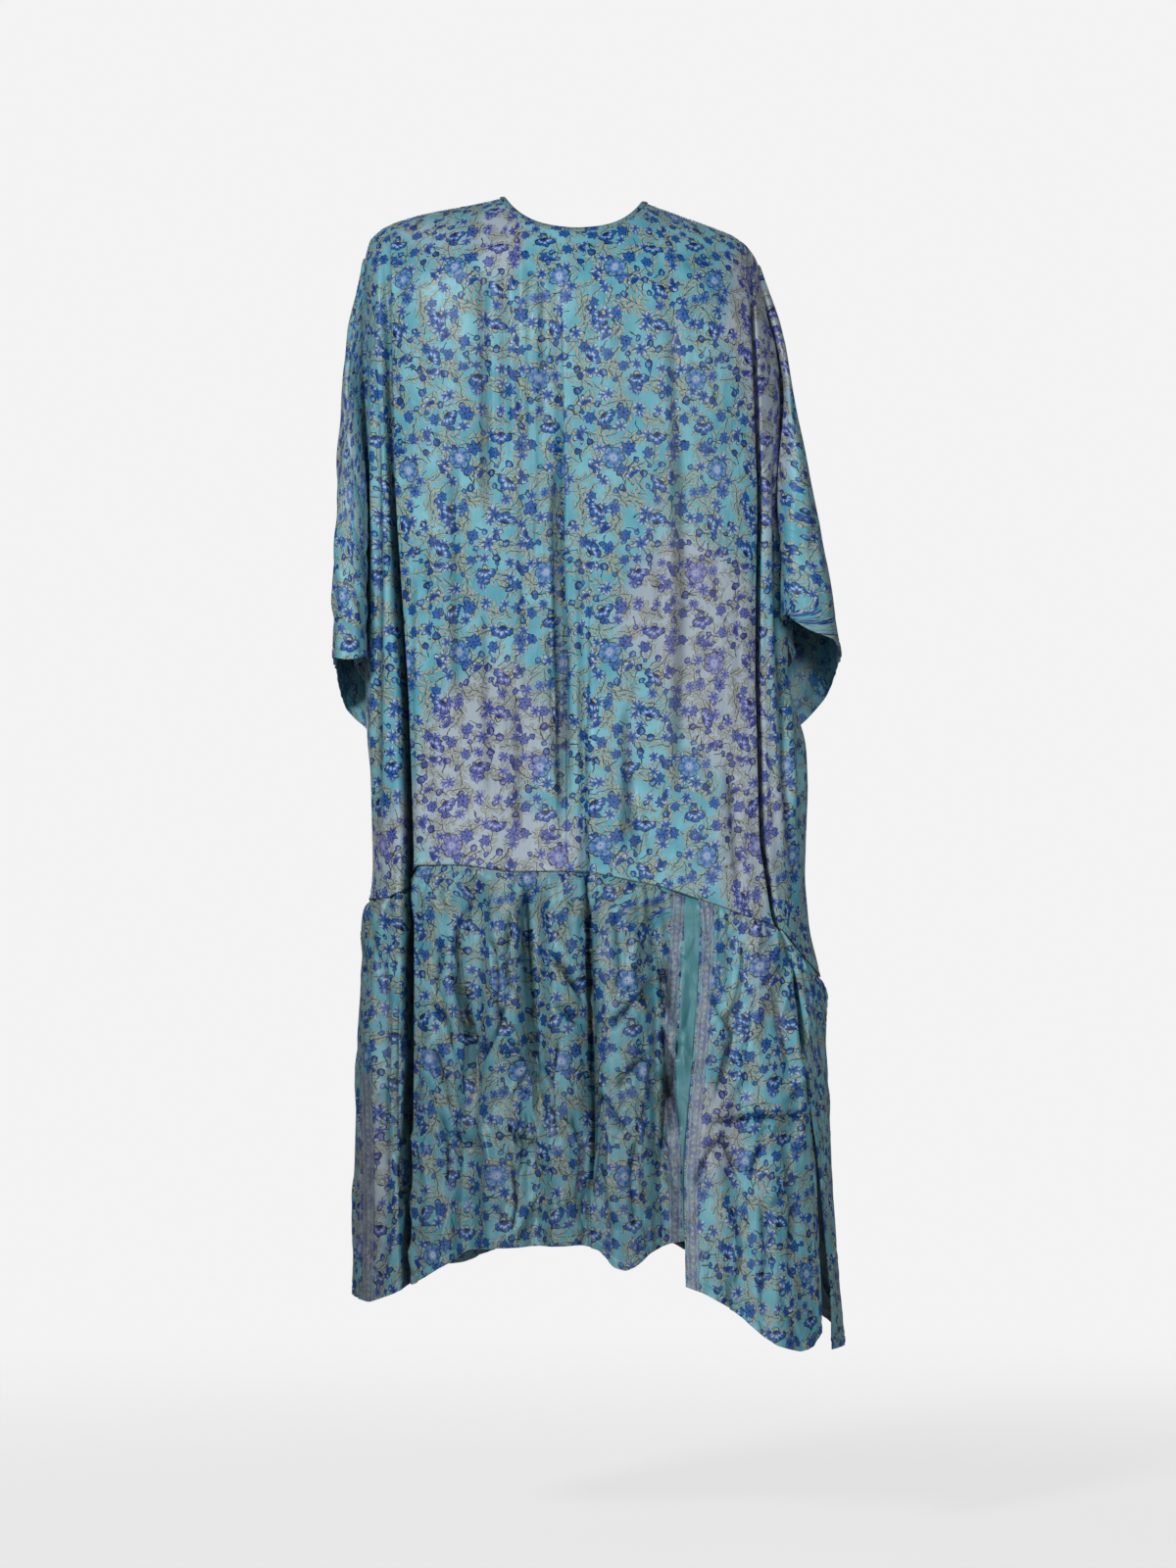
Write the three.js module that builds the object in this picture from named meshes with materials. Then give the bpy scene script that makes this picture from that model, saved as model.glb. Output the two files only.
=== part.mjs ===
// A kimono-style robe of printed silk, hanging hollow in the shape it has when it is worn.
// Millimetres, +Z up. The wearer would face -Y, so the robe's back is at +Y and its left side at +X.
// The origin lies midway between the two neck points, on the shoulder line.
import * as THREE from 'three';

// Driving sizes.
const CLOTH = 1.6; // wall of one cloth
const SEAM_GAP = 0.3; // between two pieces that are sewn together
const NECK_HALF = 76; // from the centre to a neck point
const NECK_DROP = 33; // from the neck points down to the back neckline
const NECK_FULLNESS = 2.4; // how square the back neckline is
const SHOULDER_ROLL = 125; // height in which a shoulder turns down into the back
const UNDERARM = -362;
const ARMHOLE_CLEAR = 2.3; // from the armhole's edge to the middle of the sleeve's wall
const SLEEVE_STAND = 2.8; // the sleeve stands out this far before it widens
const SLEEVE_INSET = 2; // the sleeve's start, below the shoulder's end and above the underarm
const RIDGE_GUESS = -50; // height at which a column is first placed, to find its shoulder
const RIDGE_TRIES = 12;
const BINDING = { width: 6, inner: 1.7, outer: 2.9 }; // lies on the cloth, between these heights
const SLIT = { top: -914, run: 200, openTurn: 2.5, gapTurn: 0.3 }; // side slits, turns in degrees
const LAP = { depth: 3.4, from: -96, to: -112 }; // the under tier steps in where the upper laps it

// The hanging form: how far it reaches at each height, and how square its plan is.
const FORM = [
  { z: 10, left: 230, right: 202, back: 98, front: 94, square: 2.7 },
  { z: -60, left: 231, right: 204, back: 110, front: 104, square: 2.7 },
  { z: -95, left: 231, right: 207, back: 114, front: 110, square: 2.7 },
  { z: -170, left: 231, right: 229, back: 118, front: 116, square: 2.6 },
  { z: -350, left: 230, right: 231, back: 118, front: 119, square: 2.6 },
  { z: -520, left: 229, right: 234, back: 112, front: 116, square: 2.6 },
  { z: -590, left: 227, right: 256, back: 112, front: 115, square: 2.5 },
  { z: -640, left: 221, right: 258, back: 114, front: 116, square: 2.5 },
  { z: -740, left: 221, right: 254, back: 120, front: 120, square: 2.5 },
  { z: -800, left: 230, right: 259, back: 128, front: 126, square: 2.4 },
  { z: -850, left: 234, right: 272, back: 138, front: 134, square: 2.3 },
  { z: -950, left: 238, right: 280, back: 152, front: 146, square: 2.3 },
  { z: -1090, left: 242, right: 286, back: 170, front: 162, square: 2.2 },
  { z: -1260, left: 244, right: 298, back: 188, front: 178, square: 2.2 },
];

// The shoulder line seen from behind. The right shoulder slopes more than the left.
const SHOULDER_LINE = [
  { x: -228, z: -152 },
  { x: -217, z: -128 },
  { x: -204, z: -92 },
  { x: -192, z: -54 },
  { x: -171, z: -40 },
  { x: -123, z: -20 },
  { x: -NECK_HALF, z: -3 },
  { x: 0, z: 2 },
  { x: NECK_HALF, z: 0 },
  { x: 144, z: -8 },
  { x: 198, z: -19 },
  { x: 212, z: -24 },
  { x: 226, z: -38 },
  { x: 231, z: -68 },
];

// How far, in degrees from the side, the armhole stands open at each height.
const ARMHOLE = [
  { z: UNDERARM, open: 0 },
  { z: -345, open: 5 },
  { z: -300, open: 9 },
  { z: -200, open: 10 },
  { z: -95, open: 9 },
  { z: 10, open: 8 },
];

// Heights at which the long folds and the lines between columns are placed.
const HEIGHTS = [-70, -315, -530, -700, -790, -840, -920, -1050, -1200];

// Lines that run down the cloth. Each x belongs to the height above it in HEIGHTS.
const LINES = {
  leftFold: [203, 198, 184, 178, 178, 177, 177, 178, 180],
  leftNeck: [77, 82, 92, 100, 104, 105, 106, 107, 108],
  leftMiddle: [36, 38, 42, 44, 44, 45, 45, 46, 47],
  centre: [5, 2, -13, -14, -14, -15, -15, -16, -17],
  rightNeck: [-77, -80, -84, -87, -88, -89, -89, -90, -92],
  lapEdge: [-125, -128, -130, -131, -132, -129, -123, -119, -121],
  lapEnd: [-146, -150, -152, -153, -153, -152, -151, -150, -150],
  rightFold: [-193, -203, -201, -206, -219, -241, -250, -264, -270],
  rightSlit: [-193, -203, -201, -206, -219, -241, -250, -273, -294],
  frontLeftFold: [168, 172, 176, 178, 184, 186, 190, 196, 204],
  frontLeftMiddle: [112, 110, 108, 108, 110, 112, 116, 122, 130],
  frontLeftEdge: [76, 60, 54, 52, 52, 53, 55, 60, 66],
  frontRightFold: [-160, -168, -176, -186, -194, -200, -206, -216, -228],
  frontRightMiddle: [-112, -110, -110, -112, -116, -118, -122, -130, -140],
  frontRightEdge: [-76, -60, -54, -52, -53, -54, -57, -64, -72],
};

// Long folds from the shoulders down: depth at each of HEIGHTS, half width toward +X and -X,
// and how much the trough leans sideways for each millimetre of depth.
const LONG_FOLDS = [
  { face: 1, line: 'leftFold', depth: [6, 16, 26, 36, 40, 36, 28, 16, 10], plus: 13, minus: 5, lean: -0.2 },
  { face: 1, line: 'rightFold', depth: [8, 20, 20, 24, 32, 30, 12, 0, 0], plus: 4, minus: 8, lean: 0.2 },
  { face: 1, line: 'centre', depth: [5, 7, 8, 9, 10, 11, 11, 9, 6], plus: 12, minus: 4, lean: -0.3 },
  { face: 1, line: 'leftNeck', depth: [0, -3, -4, -4, -3, 0, 0, 0, 0], plus: 26, minus: 20, lean: 0 },
  { face: 1, line: 'leftMiddle', depth: [2, 4, 5, 4, 3, 0, 0, 0, 0], plus: 14, minus: 18, lean: 0 },
  { face: 1, line: 'rightNeck', depth: [0, 2, 4, 5, 4, 0, 0, 0, 0], plus: 20, minus: 24, lean: 0 },
  { face: -1, line: 'frontLeftFold', depth: [4, 14, 20, 24, 24, 24, 20, 14, 10], plus: 12, minus: 8, lean: -0.2 },
  { face: -1, line: 'frontLeftMiddle', depth: [0, 5, 8, 9, 9, 10, 12, 14, 14], plus: 14, minus: 10, lean: 0 },
  { face: -1, line: 'frontRightFold', depth: [4, 12, 18, 22, 24, 24, 22, 16, 12], plus: 8, minus: 12, lean: 0.2 },
  { face: -1, line: 'frontRightMiddle', depth: [0, 4, 7, 10, 10, 11, 12, 15, 15], plus: 10, minus: 14, lean: 0 },
];

// Folds of the gathered tier: x at the seam and at the hem, depth (a ridge is negative), half width.
const TIER_FOLDS = [
  { face: 1, seam: 140, hem: 150, depth: -6, width: 22 },
  { face: 1, seam: 104, hem: 108, depth: 14, width: 11 },
  { face: 1, seam: 75, hem: 76, depth: -6, width: 18 },
  { face: 1, seam: 44, hem: 47, depth: 11, width: 10 },
  { face: 1, seam: 15, hem: 14, depth: -7, width: 14 },
  { face: 1, seam: -50, hem: -56, depth: -9, width: 20 },
  { face: 1, seam: -88, hem: -92, depth: 16, width: 11 },
  { face: 1, seam: -174, hem: -178, depth: 8, width: 13 },
  { face: 1, seam: -200, hem: -226, depth: -6, width: 14 },
  { face: -1, seam: 84, hem: 96, depth: -7, width: 16 },
  { face: -1, seam: 146, hem: 164, depth: -7, width: 18 },
  { face: -1, seam: -84, hem: -104, depth: -7, width: 16 },
  { face: -1, seam: -150, hem: -184, depth: -8, width: 18 },
];
const SEAM_MIDDLE = -790; // heights at which a column is placed to find its seam and its hem
const HEM_MIDDLE = -1180;
const GATHER_RUN = 50; // below the seam, the gathers reach their depth in this height

// The seam between the upper pieces and the tier, round the form from front to front.
const TIER_SEAM = [
  { turn: -180, z: -800 },
  { turn: -120, z: -838 },
  { turn: -90, z: -850 },
  { turn: -76, z: -842 },
  { turn: -66, z: -826 },
  { turn: -57, z: -794 },
  { turn: -42, z: -780 },
  { turn: -28, z: -764 },
  { turn: -16, z: -748 },
  { turn: -7, z: -740 },
  { turn: 1, z: -731 },
  { turn: 16, z: -731 },
  { turn: 30, z: -724 },
  { turn: 46, z: -725 },
  { turn: 53, z: -752 },
  { turn: 62, z: -761 },
  { turn: 90, z: -764 },
  { turn: 125, z: -772 },
  { turn: 180, z: -795 },
];

// Hems of the tier's pieces. The two behind are placed by x, the two in front by turn.
const HEM_BACK = [
  { x: -160, z: -1122 },
  { x: -118, z: -1126 },
  { x: -95, z: -1133 },
  { x: -74, z: -1147 },
  { x: -58, z: -1158 },
  { x: -38, z: -1140 },
  { x: -9, z: -1130 },
  { x: 82, z: -1134 },
  { x: 114, z: -1138 },
  { x: 148, z: -1160 },
  { x: 193, z: -1187 },
  { x: 222, z: -1200 },
  { x: 244, z: -1197 },
];
const HEM_RIGHT = [
  { x: -272, z: -1226 },
  { x: -262, z: -1246 },
  { x: -246, z: -1250 },
  { x: -220, z: -1241 },
  { x: -204, z: -1230 },
  { x: -170, z: -1200 },
  { x: -143, z: -1184 },
  { x: -118, z: -1174 },
];
const HEM_FRONT = [
  { turn: -180, z: -1146 },
  { turn: -165, z: -1152 },
  { turn: -150, z: -1180 },
  { turn: -115, z: -1226 },
  { turn: -90, z: -1252 },
  { turn: -60, z: -1252 },
  { turn: 60, z: -1196 },
  { turn: 90, z: -1196 },
  { turn: 125, z: -1184 },
  { turn: 150, z: -1174 },
  { turn: 162, z: -1154 },
  { turn: 180, z: -1140 },
];

// Sleeve sections from just outside the armhole to the hem: the points on the upper arm side and
// on the body side, and how far the section reaches back and forward.
const SLEEVES = {
  sleeve_left: {
    side: 1,
    sections: [
      { outX: 244, outZ: -128, inX: 236, inZ: -366, depth: 62 },
      { outX: 251, outZ: -185, inX: 237, inZ: -378, depth: 84 },
      { outX: 255, outZ: -260, inX: 238, inZ: -400, depth: 96 },
      { outX: 259, outZ: -350, inX: 239, inZ: -430, depth: 102 },
      { outX: 262, outZ: -430, inX: 239, inZ: -465, depth: 105 },
      { outX: 262, outZ: -505, inX: 240, inZ: -505, depth: 107 },
    ],
    hem: [
      { around: 0, lift: 0 },
      { around: 30, lift: 8 },
      { around: 90, lift: 4 },
      { around: 150, lift: 10 },
      { around: 180, lift: 0 },
      { around: 215, lift: -76 },
      { around: 270, lift: -60 },
      { around: 330, lift: -28 },
      { around: 360, lift: 0 },
    ],
  },
  sleeve_right: {
    side: -1,
    sections: [
      { outX: 232, outZ: -146, inX: 237, inZ: -368, depth: 58 },
      { outX: 241, outZ: -205, inX: 238, inZ: -380, depth: 80 },
      { outX: 253, outZ: -270, inX: 239, inZ: -400, depth: 94 },
      { outX: 270, outZ: -350, inX: 239, inZ: -425, depth: 100 },
      { outX: 284, outZ: -425, inX: 240, inZ: -455, depth: 104 },
      { outX: 292, outZ: -500, inX: 241, inZ: -500, depth: 106 },
    ],
    hem: [
      { around: 0, lift: 0 },
      { around: 45, lift: 20 },
      { around: 90, lift: 30 },
      { around: 135, lift: 48 },
      { around: 160, lift: 62 },
      { around: 180, lift: 0 },
      { around: 215, lift: -76 },
      { around: 235, lift: -84 },
      { around: 270, lift: -66 },
      { around: 315, lift: -34 },
      { around: 360, lift: 0 },
    ],
  },
};
const SLEEVE_POINTS = 28; // round a sleeve

const NECK_ANGLES = [0, 2, 5, 9, 14, 20, 28, 38, 50, 65, 90]; // from a neck point to the centre

// Rows of points down the upper pieces: turns of the shoulder roll, then heights below it.
const ROLL_ROWS = [0, 18, 36, 54, 72, 90];
const EDGE_ROLL = [6, 12, 18, 27, 36, 45, 54, 63, 72, 81, 90]; // the binding over the shoulder
const LOWER_ROWS = [-240, -300, -345, UNDERARM, -450, -540, -630, -700];
const TIER_ROWS = [0, 0.05, 0.12, 0.22, 0.34, 0.46, 0.58, 0.7, 0.82, 0.92, 1];

const RADIANS = Math.PI / 180;

// Reads a table: finds column `want` where column `key` is `value`, straight between the rows.
function lookUp(rows, key, want, value) {
  const ordered = rows[0][key] < rows[rows.length - 1][key] ? rows : [...rows].reverse();
  if (value <= ordered[0][key]) return ordered[0][want];
  for (let i = 1; i < ordered.length; i += 1) {
    const a = ordered[i - 1];
    const b = ordered[i];
    if (value <= b[key]) return a[want] + ((b[want] - a[want]) * (value - a[key])) / (b[key] - a[key]);
  }
  return ordered[ordered.length - 1][want];
}

// Reads a list of values that belong to HEIGHTS.
function atHeight(values, z) {
  const rows = HEIGHTS.map((height, i) => ({ z: height, value: values[i] }));
  return lookUp(rows, 'z', 'value', z);
}

function smooth(value, from, to) {
  const t = Math.min(1, Math.max(0, (value - from) / (to - from)));
  return t * t * (3 - 2 * t);
}

function power(base, exponent) {
  return Math.sign(base) * Math.abs(base) ** exponent;
}

function formAt(z) {
  const read = (want) => lookUp(FORM, 'z', want, z);
  const left = read('left');
  const right = read('right');
  return {
    centre: (left - right) / 2,
    half: (left + right) / 2,
    back: read('back'),
    front: read('front'),
    square: read('square'),
  };
}

// Where a line at x runs on the back (face 1) or the front (face -1), as a turn in degrees.
function turnOf(x, z, face) {
  const form = formAt(z);
  const share = Math.min(1, Math.abs(x - form.centre) / form.half);
  const angle = Math.asin(share ** (form.square / 2)) / RADIANS;
  const side = Math.sign(x - form.centre);
  return face > 0 ? side * angle : side * (180 - angle);
}

function shoulderHeight(x) {
  return lookUp(SHOULDER_LINE, 'x', 'z', x);
}

function seamHeight(turn) {
  return lookUp(TIER_SEAM, 'turn', 'z', turn);
}

// A trough across the cloth: 1 in its middle, 0 well outside it.
function trough(across, plus, minus) {
  const width = across > 0 ? plus : minus;
  return Math.exp(-((Math.abs(across) / width) ** 3));
}

// The cloth's surface at a turn round the form (0 back, 90 left, 180 front, -90 right) and a height.
function surface(turn, z) {
  const form = formAt(z);
  const sine = Math.sin(turn * RADIANS);
  const cosine = Math.cos(turn * RADIANS);
  const face = cosine >= 0 ? 1 : -1;
  let x = form.centre + form.half * power(sine, 2 / form.square);
  let y = (face > 0 ? form.back : form.front) * power(cosine, 2 / form.square);

  const drop = Math.max(0, shoulderHeight(x) - z);
  const roll = drop < SHOULDER_ROLL ? Math.sqrt(1 - (1 - drop / SHOULDER_ROLL) ** 2) : 1;
  y *= roll;

  const plainX = x;
  for (const fold of LONG_FOLDS.filter((row) => row.face === face)) {
    const across = plainX - atHeight(LINES[fold.line], z);
    const depth = roll * atHeight(fold.depth, z) * trough(across, fold.plus, fold.minus);
    x += fold.lean * depth;
    y -= face * depth;
  }

  const below = seamHeight(turn) - z;
  if (below > 0) {
    const hemShare = Math.min(1, below / 400);
    for (const fold of TIER_FOLDS.filter((row) => row.face === face)) {
      const across = plainX - (fold.seam + (fold.hem - fold.seam) * hemShare);
      y -= face * smooth(below, 0, GATHER_RUN) * fold.depth * trough(across, fold.width, fold.width);
    }
  }
  return new THREE.Vector3(x, y, z);
}

// The outward direction of the surface, from neighbouring points.
function outward(turn, z, shape = surface) {
  const step = 0.6;
  const along = shape(turn + step, z).sub(shape(turn - step, z));
  const down = shape(turn, z - step).sub(shape(turn, z));
  return down.cross(along).normalize().negate();
}

// Turns grid[row][column] of { point, normal } into one closed wall of cloth.
function wallGeometry(grid, closedRound, thickness = CLOTH) {
  const rows = grid.length;
  const columns = grid[0].length;
  const positions = [];
  for (const side of [0.5, -0.5]) {
    for (const row of grid) {
      for (const { point, normal } of row) {
        positions.push(...point.clone().addScaledVector(normal, side * thickness).toArray());
      }
    }
  }
  const index = [];
  const outer = (r, c) => r * columns + (c % columns);
  const inner = (r, c) => rows * columns + outer(r, c);
  const quad = (a, b, c, d) => index.push(a, b, c, a, c, d);
  const spans = closedRound ? columns : columns - 1;
  for (let c = 0; c < spans; c += 1) {
    for (let r = 0; r < rows - 1; r += 1) {
      quad(outer(r, c), outer(r + 1, c), outer(r + 1, c + 1), outer(r, c + 1));
      quad(inner(r, c), inner(r, c + 1), inner(r + 1, c + 1), inner(r + 1, c));
    }
    quad(outer(0, c), outer(0, c + 1), inner(0, c + 1), inner(0, c));
    quad(outer(rows - 1, c + 1), outer(rows - 1, c), inner(rows - 1, c), inner(rows - 1, c + 1));
  }
  if (!closedRound) {
    for (let r = 0; r < rows - 1; r += 1) {
      quad(outer(r + 1, 0), outer(r, 0), inner(r, 0), inner(r + 1, 0));
      const last = columns - 1;
      quad(outer(r, last), outer(r + 1, last), inner(r + 1, last), inner(r, last));
    }
  }
  const geometry = new THREE.BufferGeometry();
  geometry.setAttribute('position', new THREE.Float32BufferAttribute(positions, 3));
  geometry.setIndex(index);
  geometry.computeVertexNormals();
  return geometry;
}

// Columns between lines: each span is shared out more closely beside its two lines.
function columnsBetween(lines, spans) {
  const columns = [];
  spans.forEach((count, i) => {
    const first = i === 0 ? 0 : 1;
    for (let k = first; k <= count; k += 1) {
      const even = k / count;
      const share = 0.55 * ((1 - Math.cos(Math.PI * even)) / 2) + 0.45 * even;
      columns.push((z) => lines[i](z) * (1 - share) + lines[i + 1](z) * share);
    }
  });
  return columns;
}

const onBack = (name) => (z) => turnOf(atHeight(LINES[name], z), z, 1);
const onFront = (name) => (z) => turnOf(atHeight(LINES[name], z), z, -1);
const halfGapTurn = SEAM_GAP / 2 / 1.2; // the side seam's half gap, as a turn

// The side edge of an upper piece: the armhole, and the side seam below it.
function sideEdge(side, face) {
  return (z) => {
    const open = z > UNDERARM ? lookUp(ARMHOLE, 'z', 'open', z) : 0;
    return side * (90 - face * Math.max(open, halfGapTurn));
  };
}

// The lines on the back from left to right, with the number of columns up to each.
const BACK_SPANS = [
  { line: 'leftFold', columns: 7 },
  { line: 'leftNeck', columns: 6 },
  { line: 'leftMiddle', columns: 4 },
  { line: 'centre', columns: 4 },
  { line: 'rightNeck', columns: 5 },
  { line: 'lapEdge', columns: 3 },
  { line: 'lapEnd', columns: 2 },
  { line: 'rightFold', columns: 4 },
];
const RIGHT_SIDE_COLUMNS = 5;

const BACK_COLUMNS = columnsBetween(
  [sideEdge(1, 1), ...BACK_SPANS.map((span) => onBack(span.line)), sideEdge(-1, 1)],
  [...BACK_SPANS.map((span) => span.columns), RIGHT_SIDE_COLUMNS],
);

function columnOf(line) {
  const last = BACK_SPANS.findIndex((span) => span.line === line);
  return BACK_SPANS.slice(0, last + 1).reduce((sum, span) => sum + span.columns, 0);
}

const FRONT_LEFT_COLUMNS = columnsBetween(
  [onFront('frontLeftEdge'), onFront('frontLeftMiddle'), onFront('frontLeftFold'), sideEdge(1, -1)],
  [3, 4, 5],
);
const FRONT_RIGHT_COLUMNS = columnsBetween(
  [sideEdge(-1, -1), onFront('frontRightFold'), onFront('frontRightMiddle'), onFront('frontRightEdge')],
  [5, 4, 3],
);

// Where a column meets the shoulder line: its x and height, found by closing in on them.
function shoulderPoint(turnAt) {
  let z = RIDGE_GUESS;
  let x = 0;
  for (let i = 0; i < RIDGE_TRIES; i += 1) {
    x = surface(turnAt(z), z).x;
    z = shoulderHeight(x);
  }
  return { x, z };
}

// Height of the cloth's top edge at x: the shoulder line, or the neckline behind the neck.
function backTop(x) {
  const share = Math.min(1, Math.abs(x) / NECK_HALF);
  return shoulderHeight(x) - NECK_DROP * (1 - share ** NECK_FULLNESS) ** (1 / NECK_FULLNESS);
}

function upperRows(top, shoulder, bottom) {
  const rolled = shoulder - SHOULDER_ROLL;
  const rows = ROLL_ROWS.map((turn) => top - (top - rolled) * (1 - Math.cos(turn * RADIANS)));
  return [...rows, ...LOWER_ROWS, bottom];
}

// One point of an upper piece. On the shoulder seam it keeps half a gap, and its end face is upright.
function upperPoint(turn, z, firstRow) {
  const point = surface(turn, z);
  const normal = outward(turn, z - 0.5);
  if (firstRow && Math.abs(point.y) < SEAM_GAP) {
    point.y = Math.sign(Math.cos(turn * RADIANS)) * (SEAM_GAP / 2);
    normal.setY(0).normalize();
  }
  return { point, normal };
}

function upperPiece(columns, face) {
  const byColumn = columns.map((turnAt) => {
    const { x, z: shoulder } = shoulderPoint(turnAt);
    const top = face > 0 ? backTop(x) : shoulder;
    const bottom = seamHeight(turnAt(SEAM_MIDDLE)) + SEAM_GAP;
    return upperRows(top, shoulder, bottom).map((z, row) => upperPoint(turnAt(z), z, row === 0));
  });
  return wallGeometry(byColumn[0].map((_, row) => byColumn.map((column) => column[row])), false);
}

// A piece of the gathered tier, from the seam down to its own hem.
function tierPiece(columns, hemAt, shape = surface) {
  const byColumn = columns.map((turnAt) => {
    const top = seamHeight(turnAt(SEAM_MIDDLE)) - SEAM_GAP;
    const bottom = hemAt(turnAt(HEM_MIDDLE));
    return TIER_ROWS.map((share) => {
      const z = top + (bottom - top) * share;
      return { point: shape(turnAt(z), z), normal: outward(turnAt(z), z, shape) };
    });
  });
  return wallGeometry(byColumn[0].map((_, row) => byColumn.map((column) => column[row])), false);
}

const hemByX = (rows) => (turn) => lookUp(rows, 'x', 'z', surface(turn, HEM_MIDDLE).x);
const hemByTurn = (turn) => lookUp(HEM_FRONT, 'turn', 'z', turn);

// The tier behind runs under the lapped one, a little closer to the wearer.
function lappedSurface(turn, z) {
  const point = surface(turn, z);
  point.y -= LAP.depth * smooth(-point.x, -LAP.from, -LAP.to);
  return point;
}

// The left front tier's side edge, which leaves the tier behind below the top of its slit.
function leftSlitEdge(z) {
  return 90 + halfGapTurn + SLIT.openTurn * smooth(SLIT.top - z, 0, SLIT.run);
}

const rightSide = () => -90;
const nudged = (turnAt, turn) => (z) => turnAt(z) + turn;

function tierFrontRightColumns() {
  const behind = columnsBetween([onBack('rightSlit'), rightSide], [RIGHT_SIDE_COLUMNS]);
  behind[0] = nudged(behind[0], -SLIT.gapTurn);
  return [...behind, ...FRONT_RIGHT_COLUMNS.slice(1)];
}

function tierBackRightColumns() {
  const columns = BACK_COLUMNS.slice(columnOf('lapEdge'), columnOf('rightFold') + 1);
  columns[columns.length - 1] = nudged(columns[columns.length - 1], SLIT.gapTurn);
  return columns;
}

// The armhole's edge on one side, at a height: the surface where the upper piece ends.
function armholeEdge(side, face, z) {
  return surface(sideEdge(side, face)(z), z);
}

// The sleeve's first ring, just inside the armhole.
function armholeRing(side) {
  const top = shoulderPoint(sideEdge(side, 1)).z - SLEEVE_INSET;
  const bottom = UNDERARM + SLEEVE_INSET;
  const ring = [];
  for (let i = 0; i < SLEEVE_POINTS; i += 1) {
    const around = (2 * Math.PI * i) / SLEEVE_POINTS;
    const face = Math.sin(around) >= 0 ? 1 : -1;
    const z = top - ((top - bottom) * (1 - Math.cos(around))) / 2;
    const edge = armholeEdge(side, face, z);
    const room = Math.max(0, Math.abs(edge.y) - ARMHOLE_CLEAR);
    const y = Math.abs(Math.sin(around)) < 0.01 ? 0 : face * room;
    ring.push(new THREE.Vector3(edge.x, y, z));
  }
  return ring;
}

function sleeveRing(side, section, hem) {
  const ring = [];
  for (let i = 0; i < SLEEVE_POINTS; i += 1) {
    const around = (2 * Math.PI * i) / SLEEVE_POINTS;
    const share = (1 - Math.cos(around)) / 2;
    const x = section.outX + (section.inX - section.outX) * share;
    const lift = hem ? lookUp(hem, 'around', 'lift', around / RADIANS) : 0;
    const z = section.outZ + (section.inZ - section.outZ) * share + lift;
    ring.push(new THREE.Vector3(side * x, section.depth * Math.sin(around), z));
  }
  return ring;
}

function sleevePiece({ side, sections, hem }) {
  const last = sections.length - 1;
  const start = armholeRing(side);
  const clear = start.map((point) => new THREE.Vector3(point.x + side * SLEEVE_STAND, point.y, point.z));
  const rings = [start, clear, ...sections.map((row, i) => sleeveRing(side, row, i === last ? hem : null))];
  const grid = rings.map((ring, r) =>
    ring.map((point, c) => {
      const next = ring[(c + 1) % ring.length];
      const before = ring[(c + ring.length - 1) % ring.length];
      const above = rings[Math.max(0, r - 1)][c];
      const below = rings[Math.min(rings.length - 1, r + 1)][c];
      const round = next.clone().sub(before);
      const down = below.clone().sub(above);
      const normal = round.cross(down).normalize().multiplyScalar(-side);
      return { point, normal };
    }),
  );
  if (side < 0) grid.forEach((row) => row.reverse());
  return wallGeometry(grid, true);
}

// The finished edge that the binding follows: up the left front, round the neck, down the right.
function openEdge() {
  const frontPoints = (name) => {
    const rolled = EDGE_ROLL.map((angle) => -SHOULDER_ROLL * (1 - Math.cos(angle * RADIANS)));
    const heights = [...rolled, ...LOWER_ROWS, seamHeight(180) + SEAM_GAP];
    return heights.map((z) => [onFront(name)(z), z]);
  };
  const left = NECK_ANGLES.map((angle) => NECK_HALF * Math.cos(angle * RADIANS) ** (2 / NECK_FULLNESS));
  const right = left.slice(0, -1).reverse();
  const neck = [...left, ...right.map((x) => -x)].map((x) => [turnOf(x, backTop(x), 1), backTop(x)]);
  return [...frontPoints('frontLeftEdge').reverse(), ...neck, ...frontPoints('frontRightEdge')];
}

function bindingPiece() {
  const edge = openEdge().map(([turn, z]) => ({ point: surface(turn, z), normal: outward(turn, z - 0.5) }));
  const positions = [];
  edge.forEach(({ point, normal }, i) => {
    const before = edge[Math.max(0, i - 1)].point;
    const after = edge[Math.min(edge.length - 1, i + 1)].point;
    const along = after.clone().sub(before).normalize();
    const across = along.clone().cross(normal).normalize().multiplyScalar(BINDING.width);
    const inside = point.clone().add(across);
    for (const [base, height] of [
      [point, BINDING.inner],
      [point, BINDING.outer],
      [inside, BINDING.outer],
      [inside, BINDING.inner],
    ]) {
      positions.push(...base.clone().addScaledVector(normal, height).toArray());
    }
  });
  const index = [];
  const quad = (a, b, c, d) => index.push(a, b, c, a, c, d);
  for (let i = 0; i < edge.length - 1; i += 1) {
    for (let k = 0; k < 4; k += 1) {
      const next = (k + 1) % 4;
      quad(4 * i + k, 4 * i + next, 4 * (i + 1) + next, 4 * (i + 1) + k);
    }
  }
  const end = 4 * (edge.length - 1);
  quad(3, 2, 1, 0);
  quad(end, end + 1, end + 2, end + 3);
  const geometry = new THREE.BufferGeometry();
  geometry.setAttribute('position', new THREE.Float32BufferAttribute(positions, 3));
  geometry.setIndex(index);
  geometry.computeVertexNormals();
  return geometry;
}

function printedSilk() {
  return new THREE.MeshStandardMaterial({ color: 0x6fb5b5, roughness: 0.42, metalness: 0, side: THREE.DoubleSide });
}

function boundSilk() {
  return new THREE.MeshStandardMaterial({ color: 0x5b9fa4, roughness: 0.5, metalness: 0 });
}

const robe = new THREE.Group();

function addPiece(name, geometry, material = printedSilk()) {
  const mesh = new THREE.Mesh(geometry, material);
  mesh.name = name;
  robe.add(mesh);
}

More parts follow.
